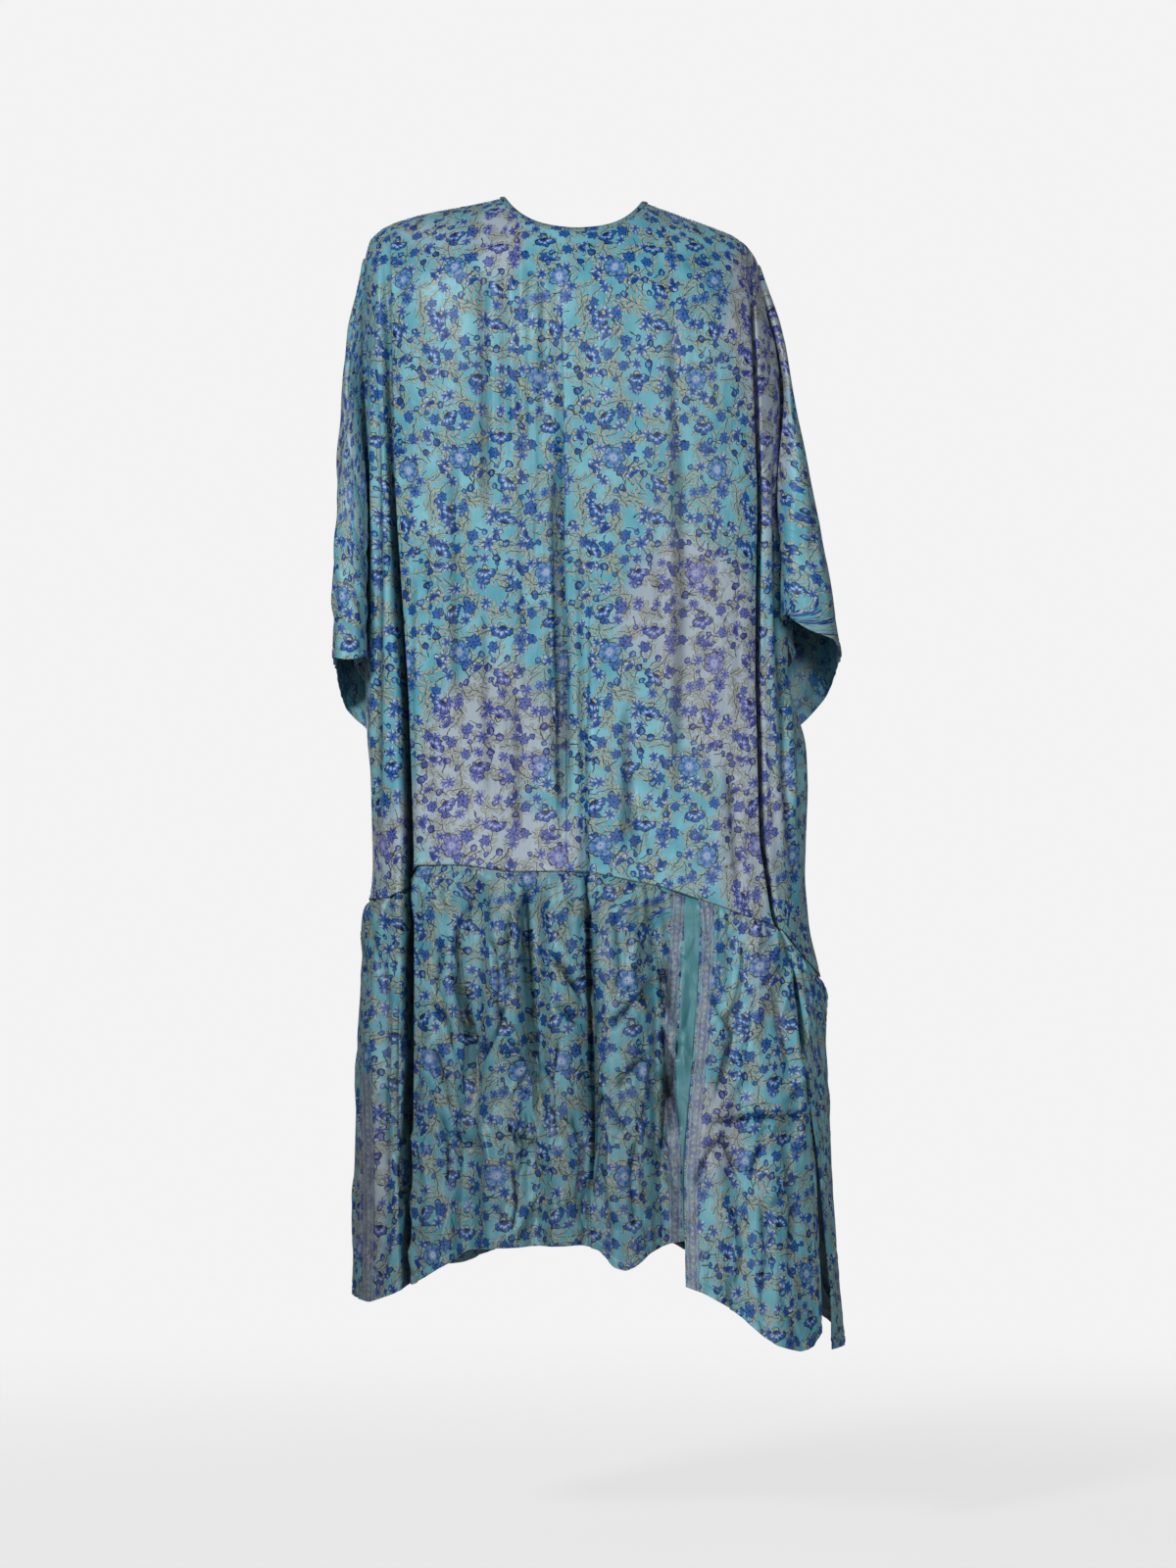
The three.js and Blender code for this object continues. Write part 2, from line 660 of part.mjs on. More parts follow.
addPiece('back', upperPiece(BACK_COLUMNS, 1));
addPiece('front_left', upperPiece(FRONT_LEFT_COLUMNS, -1));
addPiece('front_right', upperPiece(FRONT_RIGHT_COLUMNS, -1));
addPiece('neck_binding', bindingPiece(), boundSilk());
addPiece('tier_back', tierPiece(BACK_COLUMNS.slice(0, columnOf('lapEnd') + 1), hemByX(HEM_BACK), lappedSurface));
addPiece('tier_back_right', tierPiece(tierBackRightColumns(), hemByX(HEM_RIGHT)));
addPiece('tier_front_left', tierPiece([...FRONT_LEFT_COLUMNS.slice(0, -1), leftSlitEdge], hemByTurn));
addPiece('tier_front_right', tierPiece(tierFrontRightColumns(), hemByTurn));
for (const name of Object.keys(SLEEVES)) addPiece(name, sleevePiece(SLEEVES[name]));

export default robe;
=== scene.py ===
# A kimono-style robe of printed silk, shown hollow in the shape it has when it is worn.
# Tables are in millimetres. The wearer would face -Y, so the robe's back is at +Y, its left at +X.
import math

import bpy
import numpy as np
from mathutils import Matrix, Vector


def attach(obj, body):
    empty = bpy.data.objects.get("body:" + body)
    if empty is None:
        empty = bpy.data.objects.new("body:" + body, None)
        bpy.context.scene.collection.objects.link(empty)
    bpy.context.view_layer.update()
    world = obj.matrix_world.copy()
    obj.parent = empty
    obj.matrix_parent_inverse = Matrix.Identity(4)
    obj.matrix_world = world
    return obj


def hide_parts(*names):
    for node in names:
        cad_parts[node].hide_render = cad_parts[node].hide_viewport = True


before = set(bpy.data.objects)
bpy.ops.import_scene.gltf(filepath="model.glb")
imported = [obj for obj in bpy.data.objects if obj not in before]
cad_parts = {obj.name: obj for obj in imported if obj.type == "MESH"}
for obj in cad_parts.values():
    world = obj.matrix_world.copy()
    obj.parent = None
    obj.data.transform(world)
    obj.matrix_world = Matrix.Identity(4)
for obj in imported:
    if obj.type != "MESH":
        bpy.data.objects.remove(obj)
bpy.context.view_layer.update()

MM = 0.001
CLOTH = 0.9  # thickness of the silk
SEAM_GAP = 0.3
SEAM_LAP = 1.6  # the tier's top passes this far behind the upper cloth's end
NECK_HALF = 76
NECK_DROP = 33
NECK_FULLNESS = 3.2  # how square the neck's curve is
NECK_STEEPNESS = 0.8  # the lower, the more steeply it rises to the neck points
SHOULDER_ROLL = 125  # height in which a shoulder turns down into the back
UNDERARM = -362
SEAM_MIDDLE = -790  # where a column is placed to find its seam, and its hem
HEM_MIDDLE = -1180
GATHER_RUN = 50  # below the seam, the tier's folds reach their depth in this height
ROLL_LENGTH = 170  # cloth over a shoulder's roll, and below it down to the seam, and in the tier
UPPER_LENGTH = 600
TIER_LENGTH = 420
TIER_FOLD_LENGTH = 400  # the tier's folds reach their places at the hem in this height
UPPER_LEVEL = -200  # height at which a piece's print is level
TIER_LEVEL = -960
SLEEVE_LEVEL = -430
PAINTED_FOLD_SHADE = (7, 30)  # painted shade in a fold begins at the first depth, and is full at the second
SHOULDER_GUESS = -50  # where the search for the shoulder line starts, and how often it is repeated
SHOULDER_ROUNDS = 14
FINE_STEPS = 400  # for measuring along a section
REPEAT = (180, 210)  # the print's repeat, across and down
ROW_SWAY = 11  # the print's rows of motifs wander this far up and down
SPACING_ACROSS = 2.9  # between columns of the mesh, and between rows
SPACING_ACROSS_TIER = 2.8
SPACING_ACROSS_TIER_BACK = 2.3
SPACING_DOWN = 4.2
SPACING_DOWN_TIER = 3.6
SLEEVE_COLUMNS = 150
SEAM_ROWS = [0, 0.7, 1.5, 2.6, 4.2, 6.4, 9]  # closer rows beside a seam, and in a hem
HEM_ROWS = [0, 0.6, 1.8, 4, 7, 9, 10.2, 11.4, 13.5]
FAR = 99  # for a distance from a seam, hem or border, where there is none
UPPER_CREASES_SCALE = 1.8  # listed creases are this many times as high as their rows say
TIER_CREASES_SCALE = 1.6
GATHER_HEIGHT = 2.8
SHARP_EDGE = math.radians(80)  # the cloth is shaded smooth up to this angle


def table(names, *rows):
    """Rows of numbers with named columns, ordered by the first column."""
    ordered = sorted(rows)
    return {name: np.array([row[i] for row in ordered], float) for i, name in enumerate(names.split())}


# ---------------------------------------------------------------- the form, as the frame has it
FORM = table(
    "z left right back front square",
    (10, 230, 202, 98, 94, 2.7),
    (-60, 231, 204, 110, 104, 2.7),
    (-95, 231, 207, 114, 110, 2.7),
    (-170, 231, 229, 118, 116, 2.6),
    (-350, 230, 231, 118, 119, 2.6),
    (-520, 229, 234, 112, 116, 2.6),
    (-590, 227, 256, 112, 115, 2.5),
    (-640, 221, 258, 114, 116, 2.5),
    (-740, 221, 254, 120, 120, 2.5),
    (-800, 230, 259, 128, 126, 2.4),
    (-850, 234, 272, 138, 134, 2.3),
    (-950, 238, 280, 152, 146, 2.3),
    (-1090, 242, 286, 170, 162, 2.2),
    (-1260, 244, 298, 188, 178, 2.2),
)
SHOULDER_LINE = table(
    "x z",
    (-228, -150), (-217, -118), (-208, -78), (-201, -57), (-190, -42), (-174, -31), (-151, -22),
    (-123, -12), (-NECK_HALF, 5), (0, 2), (NECK_HALF, 10), (110, 2), (144, -4), (172, -10),
    (198, -18), (212, -25), (226, -38), (231, -68),
)
ARMHOLE = table("z open", (UNDERARM, 0), (-345, 5), (-300, 9), (-200, 10), (-95, 9), (10, 8))

# Lines that run down the cloth: x at each of HEIGHTS.
HEIGHTS = [-70, -315, -530, -700, -790, -840, -920, -1050, -1200]
LINES = {
    "left_fold": [203, 198, 184, 178, 178, 177, 177, 178, 180],
    "left_neck": [77, 82, 92, 100, 104, 105, 106, 107, 108],
    "left_middle": [36, 38, 42, 44, 44, 45, 45, 46, 47],
    "upper_pleat": [16, 12, 11, 10, 10, 10, 10, 10, 10],
    "centre": [-14, -14, -15, -15, -15, -15, -15, -16, -17],
    "right_neck": [-77, -80, -84, -87, -88, -89, -89, -90, -92],
    "lap_edge": [-125, -128, -130, -131, -138, -136, -130, -119, -121],
    "lap_end": [-146, -150, -152, -153, -153, -152, -151, -150, -150],
    "right_fold": [-193, -203, -201, -206, -219, -241, -250, -264, -270],
    "right_slit": [-193, -203, -201, -206, -219, -241, -250, -267, -281],
    "front_left_fold": [168, 172, 176, 178, 184, 186, 190, 196, 204],
    "front_left_middle": [112, 110, 108, 108, 110, 112, 116, 122, 130],
    "front_left_edge": [76, 60, 54, 52, 52, 53, 55, 60, 66],
    "front_right_fold": [-160, -168, -176, -186, -194, -200, -206, -216, -228],
    "front_right_middle": [-112, -110, -110, -112, -116, -118, -122, -130, -140],
    "front_right_edge": [-76, -60, -54, -52, -53, -54, -57, -64, -72],
}

# Long folds: face, line, depth at each of HEIGHTS, half width toward +X and -X, lean per depth.
LONG_FOLDS = [
    (1, "left_fold", [10, 26, 40, 50, 54, 52, 46, 38, 28], 7.5, 3, -0.2),
    (1, "right_fold", [10, 26, 30, 32, 38, 36, 16, 0, 0], 1.9, 2.8, 0.2),
    (1, "upper_pleat", [0, 11, 8, 3, 0, 0, 0, 0, 0], 7, 2, -0.4),
    (1, "centre", [0, 0, 6, 11, 12, 13, 14, 12, 8], 8, 2.5, -0.35),
    (1, "left_neck", [0, -3, -4, -4, -3, 0, 0, 0, 0], 26, 20, 0),
    (1, "left_middle", [2, 4, 5, 4, 3, 0, 0, 0, 0], 14, 18, 0),
    (1, "right_neck", [0, 2, 4, 5, 4, 0, 0, 0, 0], 20, 24, 0),
    (-1, "front_left_fold", [4, 14, 20, 24, 24, 24, 20, 14, 10], 12, 8, -0.2),
    (-1, "front_left_middle", [0, 5, 8, 9, 9, 10, 12, 14, 14], 14, 10, 0),
    (-1, "front_right_fold", [4, 12, 18, 22, 24, 24, 22, 16, 12], 8, 12, 0.2),
    (-1, "front_right_middle", [0, 4, 7, 10, 10, 11, 12, 15, 15], 10, 14, 0),
]

# Folds of the gathered tier: face, x at the seam and at the hem, depth (a ridge is negative), half width.
TIER_FOLDS = [
    (1, 140, 150, -6, 22),
    (1, 104, 113, 16, 15),
    (1, 75, 76, -6, 18),
    (1, 44, 40, 13, 13),
    (1, 15, 14, -7, 14),
    (1, -50, -56, -9, 20),
    (1, -90, -99, 15, 12),
    (1, -174, -178, 8, 13),
    (1, -200, -226, -6, 14),
    (-1, 84, 96, -7, 16),
    (-1, 146, 164, -7, 18),
    (-1, -84, -104, -7, 16),
    (-1, -150, -184, -8, 18),
]
TIER_SEAM = table(
    "turn z",
    (-180, -800), (-120, -838), (-90, -850), (-76, -842), (-66, -826), (-57, -794), (-42, -780),
    (-28, -764), (-16, -748), (-7, -740), (1, -731), (16, -731), (30, -724), (46, -725), (53, -752),
    (62, -761), (90, -764), (125, -772), (180, -795),
)
HEM_BACK = table(
    "x z",
    (-160, -1122), (-116, -1127), (-95, -1133), (-80, -1141), (-70, -1151), (-57, -1157),
    (-43, -1153), (-29, -1136), (-9, -1130), (82, -1134), (114, -1138), (148, -1160), (193, -1187),
    (222, -1200), (244, -1197),
)
HEM_RIGHT = table(
    "x z",
    (-272, -1226), (-262, -1246), (-246, -1250), (-220, -1241), (-204, -1230), (-170, -1200),
    (-143, -1184), (-118, -1174),
)
HEM_FRONT = table(
    "turn z",
    (-180, -1146), (-165, -1152), (-150, -1180), (-115, -1226), (-90, -1252), (-60, -1252),
    (60, -1196), (90, -1196), (125, -1184), (150, -1174), (162, -1154), (180, -1140),
)
SLEEVE_LEAN = 13  # the back of a sleeve leans this far over the body's side
SLEEVE_FLAT = 0.82  # the back of a sleeve lies this much nearer to the arm than its front does
SLEEVE_SQUARE = 0.5  # 1 is an oval section; a lower number flattens the cloth behind the arm
LAP = {"depth": 3.4, "start": -96, "end": -112}  # the under tier steps in where the upper laps it
SLIT = {"top": -914, "run": 200, "open_turn": 2.5, "gap_turn": 0.08}

# Sleeve sections: the points on the upper arm side and the body side, and the reach in depth.
SLEEVES = {
    "sleeve_left": {
        "side": 1,
        "sections": [
            (244, -128, 236, -366, 62),
            (251, -185, 237, -378, 84),
            (255, -260, 238, -400, 96),
            (259, -350, 239, -430, 102),
            (262, -430, 239, -465, 105),
            (262, -505, 240, -505, 107),
        ],
        "hem": table(
            "around lift",
            (0, 0), (30, 8), (90, 4), (150, 10), (180, 0), (215, -76), (270, -60), (330, -28),
            (360, 0),
        ),
    },
    "sleeve_right": {
        "side": -1,
        "sections": [
            (232, -146, 237, -368, 58),
            (241, -205, 238, -380, 80),
            (253, -270, 239, -400, 94),
            (270, -350, 239, -425, 100),
            (284, -425, 240, -455, 104),
            (292, -500, 241, -500, 106),
        ],
        "hem": table(
            "around lift",
            (0, 0), (45, 20), (90, 30), (135, 48), (160, 62), (180, 0), (215, -76), (235, -84),
            (270, -66), (315, -34), (360, 0),
        ),
    },
}

# ---------------------------------------------------------------- seeded small creases
# Small ridges: seed step, count, heights, half widths, lengths, slant.
UPPER_RIDGES = [
    (0, 110, (0.6, 2.0), (4, 11), (120, 420), 0.05),
    (1, 60, (0.2, 0.6), (3, 6), (25, 80), 0.5),
]
SLEEVE_RIDGES = [
    (0, 34, (0.8, 2.6), (5, 12), (120, 330), 0.12),
    (1, 90, (0.4, 1.4), (2.5, 6), (25, 80), 0.6),
    (3, 40, (1.2, 3.0), (8, 15), (50, 110), 1.3),
]
# On the tier, the second number is the width of cloth that has one of them.
TIER_RIDGES = [
    (3, 12, (0.8, 2.8), (3.5, 8), (60, 200), 0.22),
    (4, 4.5, (0.5, 1.8), (2.5, 5), (25, 70), 0.6),
]
TIER_SHARP_WIDTH = 5.5  # width of cloth that has one sharp crease
SLEEVE_SHARP_COUNT = 46
GATHER_LENGTHS = [30, 55, 85, 130]
GATHER_SHARES = [0.35, 0.3, 0.2, 0.15]  # how often each length comes

# ---------------------------------------------------------------- listed creases
# Each is a soft ridge (or a trough, where the height is negative) on the back: height, half widths
# to the left and the right of the way it runs, seen from behind, and x and z of each of its points.
BACK_CREASES = [
    (1.5, 1.4, 9, -15, -32, -15, -68),
    (-2.2, 8, 9, 98, -50, 97, -200, 96, -390),
    (2.2, 7, 8, 64, -180, 65, -380, 66, -560),
    (-2.6, 7, 8, 21, -260, 19, -440, 14, -600, 12, -724),
    (-2.0, 9, 9, -108, -80, -112, -260, -115, -440, -110, -640, -112, -742),
    (2.0, 8, 8, -82, -380, -84, -500, -80, -620),
    (-1.8, 7, 7, -56, -540, -58, -640, -56, -730),
    (2.0, 5, 9, 89, -40, 91, -150, 86, -260, 84, -360),
    (-1.6, 3, 5, 76, -60, 77, -170, 75, -330),
    (1.7, 4, 5, 66, -55, 67, -150, 62, -300),
    (1.4, 3, 4, 54, -60, 54, -160, 52, -280),
    (1.5, 4, 4, 40, -70, 43, -190, 42, -330, 46, -420),
    (-1.5, 3, 3, 33, -80, 34, -200, 36, -300),
    (2.2, 4, 5, 48, -300, 46, -400, 41, -520, 34, -600),
    (1.8, 3, 4, 36, -330, 34, -450, 28, -560),
    (1.8, 3, 3, 27, -390, 24, -480, 18, -600),
    (-1.8, 3, 3, 31, -420, 27, -520, 22, -640),
    (1.5, 3, 4, 2, -380, 0, -500, -4, -640),
    (-1.5, 3, 3, 6, -420, 4, -560, 2, -690),
    (2.2, 3, 12, -20, -560, -21, -640, -20, -728),
    (2.0, 14, 16, -75, -210, -78, -330, -74, -470),
    (-2.0, 3, 5, -60, -620, -67, -690, -72, -738),
    (1.8, 3, 6, -66, -640, -75, -705, -80, -742),
    (-2.0, 4, 5, -168, -610, -174, -700, -180, -765),
    (1.6, 8, 8, -150, -500, -156, -640, -160, -760),
    (1.6, 6, 10, -120, -90, -116, -200, -118, -300),
    (1.5, 10, 8, -42, -120, -48, -260, -46, -420),
    (3.2, 4, 7, 168, -400, 168, -560, 166, -723),
    (2.0, 8, 8, 150, -330, 148, -480, 146, -640, 150, -723),
    (-1.6, 7, 7, 133, -260, 130, -420, 128, -600),
    (1.8, 9, 9, 118, -120, 120, -260, 116, -420, 112, -560),
    (-1.4, 6, 6, 98, -420, 96, -560, 92, -700),
    (2.0, 7, 7, 84, -470, 78, -600, 74, -715),
    (-1.6, 5, 5, 64, -520, 60, -640, 58, -722),
    (1.8, 3, 4, 205, -260, 203, -430, 204, -600, 207, -745),
    (-1.8, 3, 4, 212, -200, 211, -400, 212, -620, 214, -750),
    (2.2, 3, 3, 219, -120, 218, -330, 218, -560, 220, -750),
    (2.0, 4, 3, -212, -260, -213, -430, -222, -640, -236, -790),
    (-2.0, 3, 3, -219, -240, -221, -430, -230, -640, -244, -790),
    (2.4, 3, 4, -225, -260, -227, -430, -240, -650, -250, -800),
    (1.6, 12, 5, 60, -45, 110, -75, 165, -95),
    (1.4, 10, 5, -90, -50, -130, -85, -170, -130),
]
TIER_CREASES = [
    (-5.5, 8, 1.6, 122, -775, 113, -870, 104, -945, 98, -995),
    (-8, 7, 1.6, 50, -735, 45, -825, 41, -895, 37, -985),
    (-7, 1.6, 8, -13, -738, -18, -880, -21, -1040, -22, -1120),
    (-5.5, 1.8, 8, -90, -800, -96, -870, -98, -960, -94, -1070),
    (4.5, 1.8, 8, -121, -800, -112, -884, -120, -970),
    (-4.5, 1.4, 7, 134, -832, 116, -890, 100, -940),
    (-6, 7, 1.4, 72, -870, 88, -915, 101, -945),
    (-6.5, 1.4, 7, 30, -820, 7, -842, -14, -874),
    (-4.5, 1.4, 7, 23, -872, 6, -886, -12, -897),
    (-5.5, 7, 1.4, -30, -902, -66, -868, -92, -838),
    (-5.5, 1.4, 7, 157, -874, 136, -896, 126, -930),
    (5, 9, 1.6, 74, -902, 47, -955, 38, -990),
    (-4.5, 1.4, 6, 156, -918, 141, -957, 128, -998),
    (-4.5, 1.4, 6, -46, -964, -68, -942, -90, -922),
    (-4, 6, 1.4, -26, -965, -42, -985, -60, -1012),
    (4.5, 1.6, 8, 60, -960, 36, -1010, 30, -1060),
    (-4.5, 6, 1.4, 14, -900, 24, -960, 18, -1025),
    (-4.5, 1.4, 7, 150, -985, 135, -1030, 138, -1085),
    (4.2, 7, 1.6, 96, -990, 86, -1040, 92, -1110),
    (-4, 1.4, 6, 2, -985, -10, -1030, -2, -1095),
    (4, 1.6, 7, -40, -1010, -36, -1060, -48, -1120),
    (-4, 6, 1.4, -72, -1010, -64, -1060, -70, -1120),
    (-4, 1.4, 6, 66, -1040, 60, -1085, 68, -1125),
    (3.6, 7, 1.6, 160, -1020, 152, -1080, 158, -1140),
    (-4.5, 1.4, 6, 92, -800, 84, -850, 90, -900),
    (-4.5, 6, 1.4, 66, -770, 72, -830, 62, -880),
    (-4, 1.4, 6, 146, -800, 150, -850, 140, -885),
    (-4, 6, 1.4, -44, -770, -50, -830, -42, -880),
    (3.8, 1.6, 6, -66, -790, -60, -840, -68, -890),
    (5, 1.4, 6, -90, -872, -103, -915, -114, -955),
    (-5.5, 5, 1.2, -119, -900, -106, -945, -97, -990),
    (-5.5, 1.2, 5, -93, -945, -105, -985, -117, -1015),
    (4.5, 1.4, 6, -97, -1000, -107, -1035, -113, -1085),
    (-3.6, 5, 1.4, 70, -1000, 48, -1020, 20, -1030),
    (-3.6, 1.4, 5, 130, -1010, 112, -1026, 90, -1030),
    (-4, 5, 1.6, 203, -800, 200, -900, 203, -1010, 200, -1120),
    (3.6, 1.6, 5, 214, -790, 216, -900, 212, -1040, 214, -1160),
    (-4, 1.6, 6, 190, -850, 196, -960, 188, -1080, 194, -1150),
    (4.2, 1.6, 16, -140, -998, -198, -993, -268, -990),
    (-3.4, 1.4, 5, -140, -1003, -198, -998, -268, -995),
    (4.6, 1.6, 8, -202, -850, -186, -940, -155, -982),
    (-5, 1.4, 6, -143, -860, -171, -906, -148, -990),
    (4.4, 7, 1.6, -262, -918, -246, -957, -216, -986),
    (-3, 1.4, 6, -156, -1004, -168, -1035, -181, -1072),
    (-4.2, 6, 1.4, -213, -998, -200, -1035, -191, -1072),
    (-4.6, 6, 1.6, -129, -1070, -146, -1030, -168, -1010),
    (4.2, 6, 1.6, -184, -800, -176, -850, -162, -900),
    (-4.6, 1.4, 6, -214, -850, -222, -905, -236, -950),
    (3.4, 6, 2, -238, -880, -246, -960, -250, -1060),
    (-3.2, 2, 6, -226, -1010, -236, -1090, -232, -1180),
    (3.2, 8, 2, -160, -1080, -176, -1140, -170, -1180),
    (-3.2, 2, 6, -202, -1080, -208, -1150, -200, -1210),
]

# ---------------------------------------------------------------- dye and border
# Soft patches where the dip dye has gone lilac: face, x, z, reach across and down, strength.
DYE_PATCHES = [
    (1, 80, -45, 34, 62, 0.6),
    (1, 165, -35, 62, 42, 0.4),
    (1, -200, -130, 44, 105, 0.85),
    (1, -216, -270, 22, 110, 0.8),
    (1, -120, -440, 80, 78, 0.95),
    (1, -160, -540, 60, 80, 0.8),
    (1, -194, -690, 46, 110, 0.85),
    (1, 84, -575, 78, 72, 0.95),
    (1, 134, -668, 60, 62, 0.75),
    (1, 40, -700, 70, 42, 0.85),
    (1, 208, -716, 26, 64, 0.6),
    (1, 252, -270, 24, 120, 0.45),
    (1, -152, -1010, 36, 62, 0.85),
    (1, -209, -850, 26, 60, 0.5),
    (1, 218, -1075, 24, 140, 0.75),
    (-1, 130, -300, 62, 92, 0.8),
    (-1, -150, -540, 60, 110, 0.8),
    (-1, -120, -1000, 50, 80, 0.7),
    (-1, 150, -820, 60, 70, 0.7),
    (-1, 210, -90, 60, 60, 0.5),
]
# Middles of the woven border bands on the tier behind, at each height.
BORDER_UNDER = table(
    "z x", (-1200, -108), (-1100, -110), (-1030, -109), (-970, -104), (-920, -104), (-760, -114)
)
BORDER_LEFT = table("z x", (-1200, 223), (-1040, 223), (-960, 226), (-900, 228), (-760, 229))
BORDER_LAP = 8  # middle of the border on the upper layer, from its edge
BORDER_HALF = 7
BORDER_LEFT_TOP = -950  # a fold hides the left border above this height
BORDER_SPLIT = 60  # x between the two borders behind


# ---------------------------------------------------------------- reading the tables
ROUNDING = np.linspace(-1, 1, 9)
BELL = 1 + np.cos(ROUNDING * math.pi * 0.9)
ROUNDING_WEIGHTS = BELL / BELL.sum()


def read(rows, want, at, reach=0.0):
    """Looks up a value, with the table's corners rounded over `reach` on each side."""
    keys = next(iter(rows.values()))
    if reach == 0:
        return np.interp(at, keys, rows[want])
    parts = zip(ROUNDING * reach, ROUNDING_WEIGHTS)
    return sum(weight * np.interp(at + step, keys, rows[want]) for step, weight in parts)


def at_height(values, z):
    rows = {"z": np.array(HEIGHTS[::-1], float), "value": np.array(values[::-1], float)}
    return read(rows, "value", z, 35)


def smooth(value, low, high):
    share = np.clip((value - low) / (high - low), 0, 1)
    return share * share * (3 - 2 * share)


def power(base, exponent):
    return np.sign(base) * np.abs(base) ** exponent


def form_at(z):
    left, right, back, front, square = (read(FORM, name, z, 22) for name in list(FORM)[1:])
    return (left - right) / 2, (left + right) / 2, back, front, square


def turn_of(x, z, face):
    """The turn round the form, in degrees, of a line at x on the back (1) or the front (-1)."""
    centre, half, _, _, square = form_at(z)
    angle = np.degrees(np.arcsin(np.clip(np.abs(x - centre) / half, 0, 1) ** (square / 2)))
    side = np.sign(x - centre)
    return side * angle if face > 0 else side * (180 - angle)


def shoulder_height(x):
    return read(SHOULDER_LINE, "z", x, 6)


def seam_height(turn):
    return read(TIER_SEAM, "z", turn, 1.5)


def trough(across, plus, minus, sharpness=3):
    """1 in the middle of a fold and 0 well outside it."""
    return np.exp(-((np.abs(across) / np.where(across > 0, plus, minus)) ** sharpness))


def painted_fold_shade(plain, z, face):
    """Painted shade in the long folds: how far down in one the cloth lies, from 0 to 1."""
    shade = np.zeros(plain.shape)
    for fold_face, line, depths, plus, minus, _ in LONG_FOLDS:
        if fold_face == face:
            across = plain - at_height(LINES[line], z)
            depth = at_height(depths, z) * trough(across, plus, minus)
            shade = np.maximum(shade, smooth(depth, *PAINTED_FOLD_SHADE))
    return shade


def surface(turn, z):
    """The cloth's middle at a turn (0 back, 90 left, 180 front) and a height: x, y, z and plain x."""
    turn, z = np.broadcast_arrays(np.asarray(turn, float), np.asarray(z, float))
    centre, half, back, front, square = form_at(z)
    sine, cosine = np.sin(np.radians(turn)), np.cos(np.radians(turn))
    face = np.where(cosine >= 0, 1, -1)
    x = centre + half * power(sine, 2 / square)
    y = np.where(face > 0, back, front) * power(cosine, 2 / square)
    drop = np.clip((shoulder_height(x) - z) / SHOULDER_ROLL, 0, 1)
    roll = np.sqrt(1 - (1 - drop) ** 2)
    y = y * roll
    plain = x.copy()
    for fold_face, line, depths, plus, minus, lean in LONG_FOLDS:
        across = plain - at_height(LINES[line], z)
        depth = roll * at_height(depths, z) * trough(across, plus, minus) * (face == fold_face)
        x = x + lean * depth
        y = y - face * depth
    below = np.maximum(seam_height(turn) - z, 0)
    for fold_face, seam_x, hem_x, depth, width in TIER_FOLDS:
        across = plain - (seam_x + (hem_x - seam_x) * np.minimum(1, below / TIER_FOLD_LENGTH))
        strength = smooth(below, 0, GATHER_RUN) * (face == fold_face)
        y = y - face * strength * depth * trough(across, width, width)
    return x, y, z, plain


def surface_points(turn, z):
    return np.stack(surface(turn, z)[:3], axis=-1)


# ---------------------------------------------------------------- columns and rows
def on_line(name, face):
    return lambda z: turn_of(at_height(LINES[name], z), z, face)


def side_edge(side, face):
    """The armhole's edge, and the side seam below it."""
    return lambda z: side * (90 - face * np.where(z > UNDERARM, read(ARMHOLE, "open", z), 0))


def running(lengths):
    """Running total from 0."""
    return np.concatenate([[0], np.cumsum(lengths)])


class Columns:
    """Lines down the cloth from one side of a piece to the other, spread evenly along its folds."""

    def __init__(self, lines, middle, spacing):
        self.lines = lines
        self.first = []
        self.share = []
        for i in range(len(lines) - 1):
            fine = np.linspace(0, 1, FINE_STEPS)
            height = np.array(float(middle))
            x, y, _, _ = surface(lines[i](height) * (1 - fine) + lines[i + 1](height) * fine, middle)
            run = running(np.hypot(np.diff(x), np.diff(y)))
            count = max(2, round(run[-1] / spacing))
            shares = np.interp(np.linspace(0, run[-1], count + 1), run, fine)
            keep = shares if i == len(lines) - 2 else shares[:-1]
            self.first += [i] * len(keep)
            self.share += list(keep)
        self.first = np.array(self.first)
        self.share = np.array(self.share)
        self.count = len(self.share)

    def turns(self, z):
        """Turns of all columns; z has one entry for each column in its last place."""
        z = np.broadcast_to(z, (*np.shape(z)[:-1], self.count))
        result = np.zeros(z.shape)
        for i in range(len(self.lines) - 1):
            mine = self.first == i
            share = self.share[mine]
            part = z[..., mine]
            result[..., mine] = self.lines[i](part) * (1 - share) + self.lines[i + 1](part) * share
        return result

    def turns_at(self, height):
        return self.turns(np.full((1, self.count), float(height)))


def shoulder_points(columns):
    """x and z where each column meets the shoulder line, found step by step from below it."""
    z = np.full((1, columns.count), float(SHOULDER_GUESS))
    for _ in range(SHOULDER_ROUNDS):
        x, _, _, _ = surface(columns.turns(z), z)
        z = shoulder_height(x)
    return x, z


def back_top(x):
    share = np.minimum(1, np.abs(x) / NECK_HALF)
    return shoulder_height(x) - NECK_DROP * (1 - share**NECK_FULLNESS) ** NECK_STEEPNESS


def hem_by_x(rows):
    return lambda turn: read(rows, "z", surface(turn, HEM_MIDDLE)[0], 5)


def hem_by_turn(turn):
    return read(HEM_FRONT, "z", turn, 4)


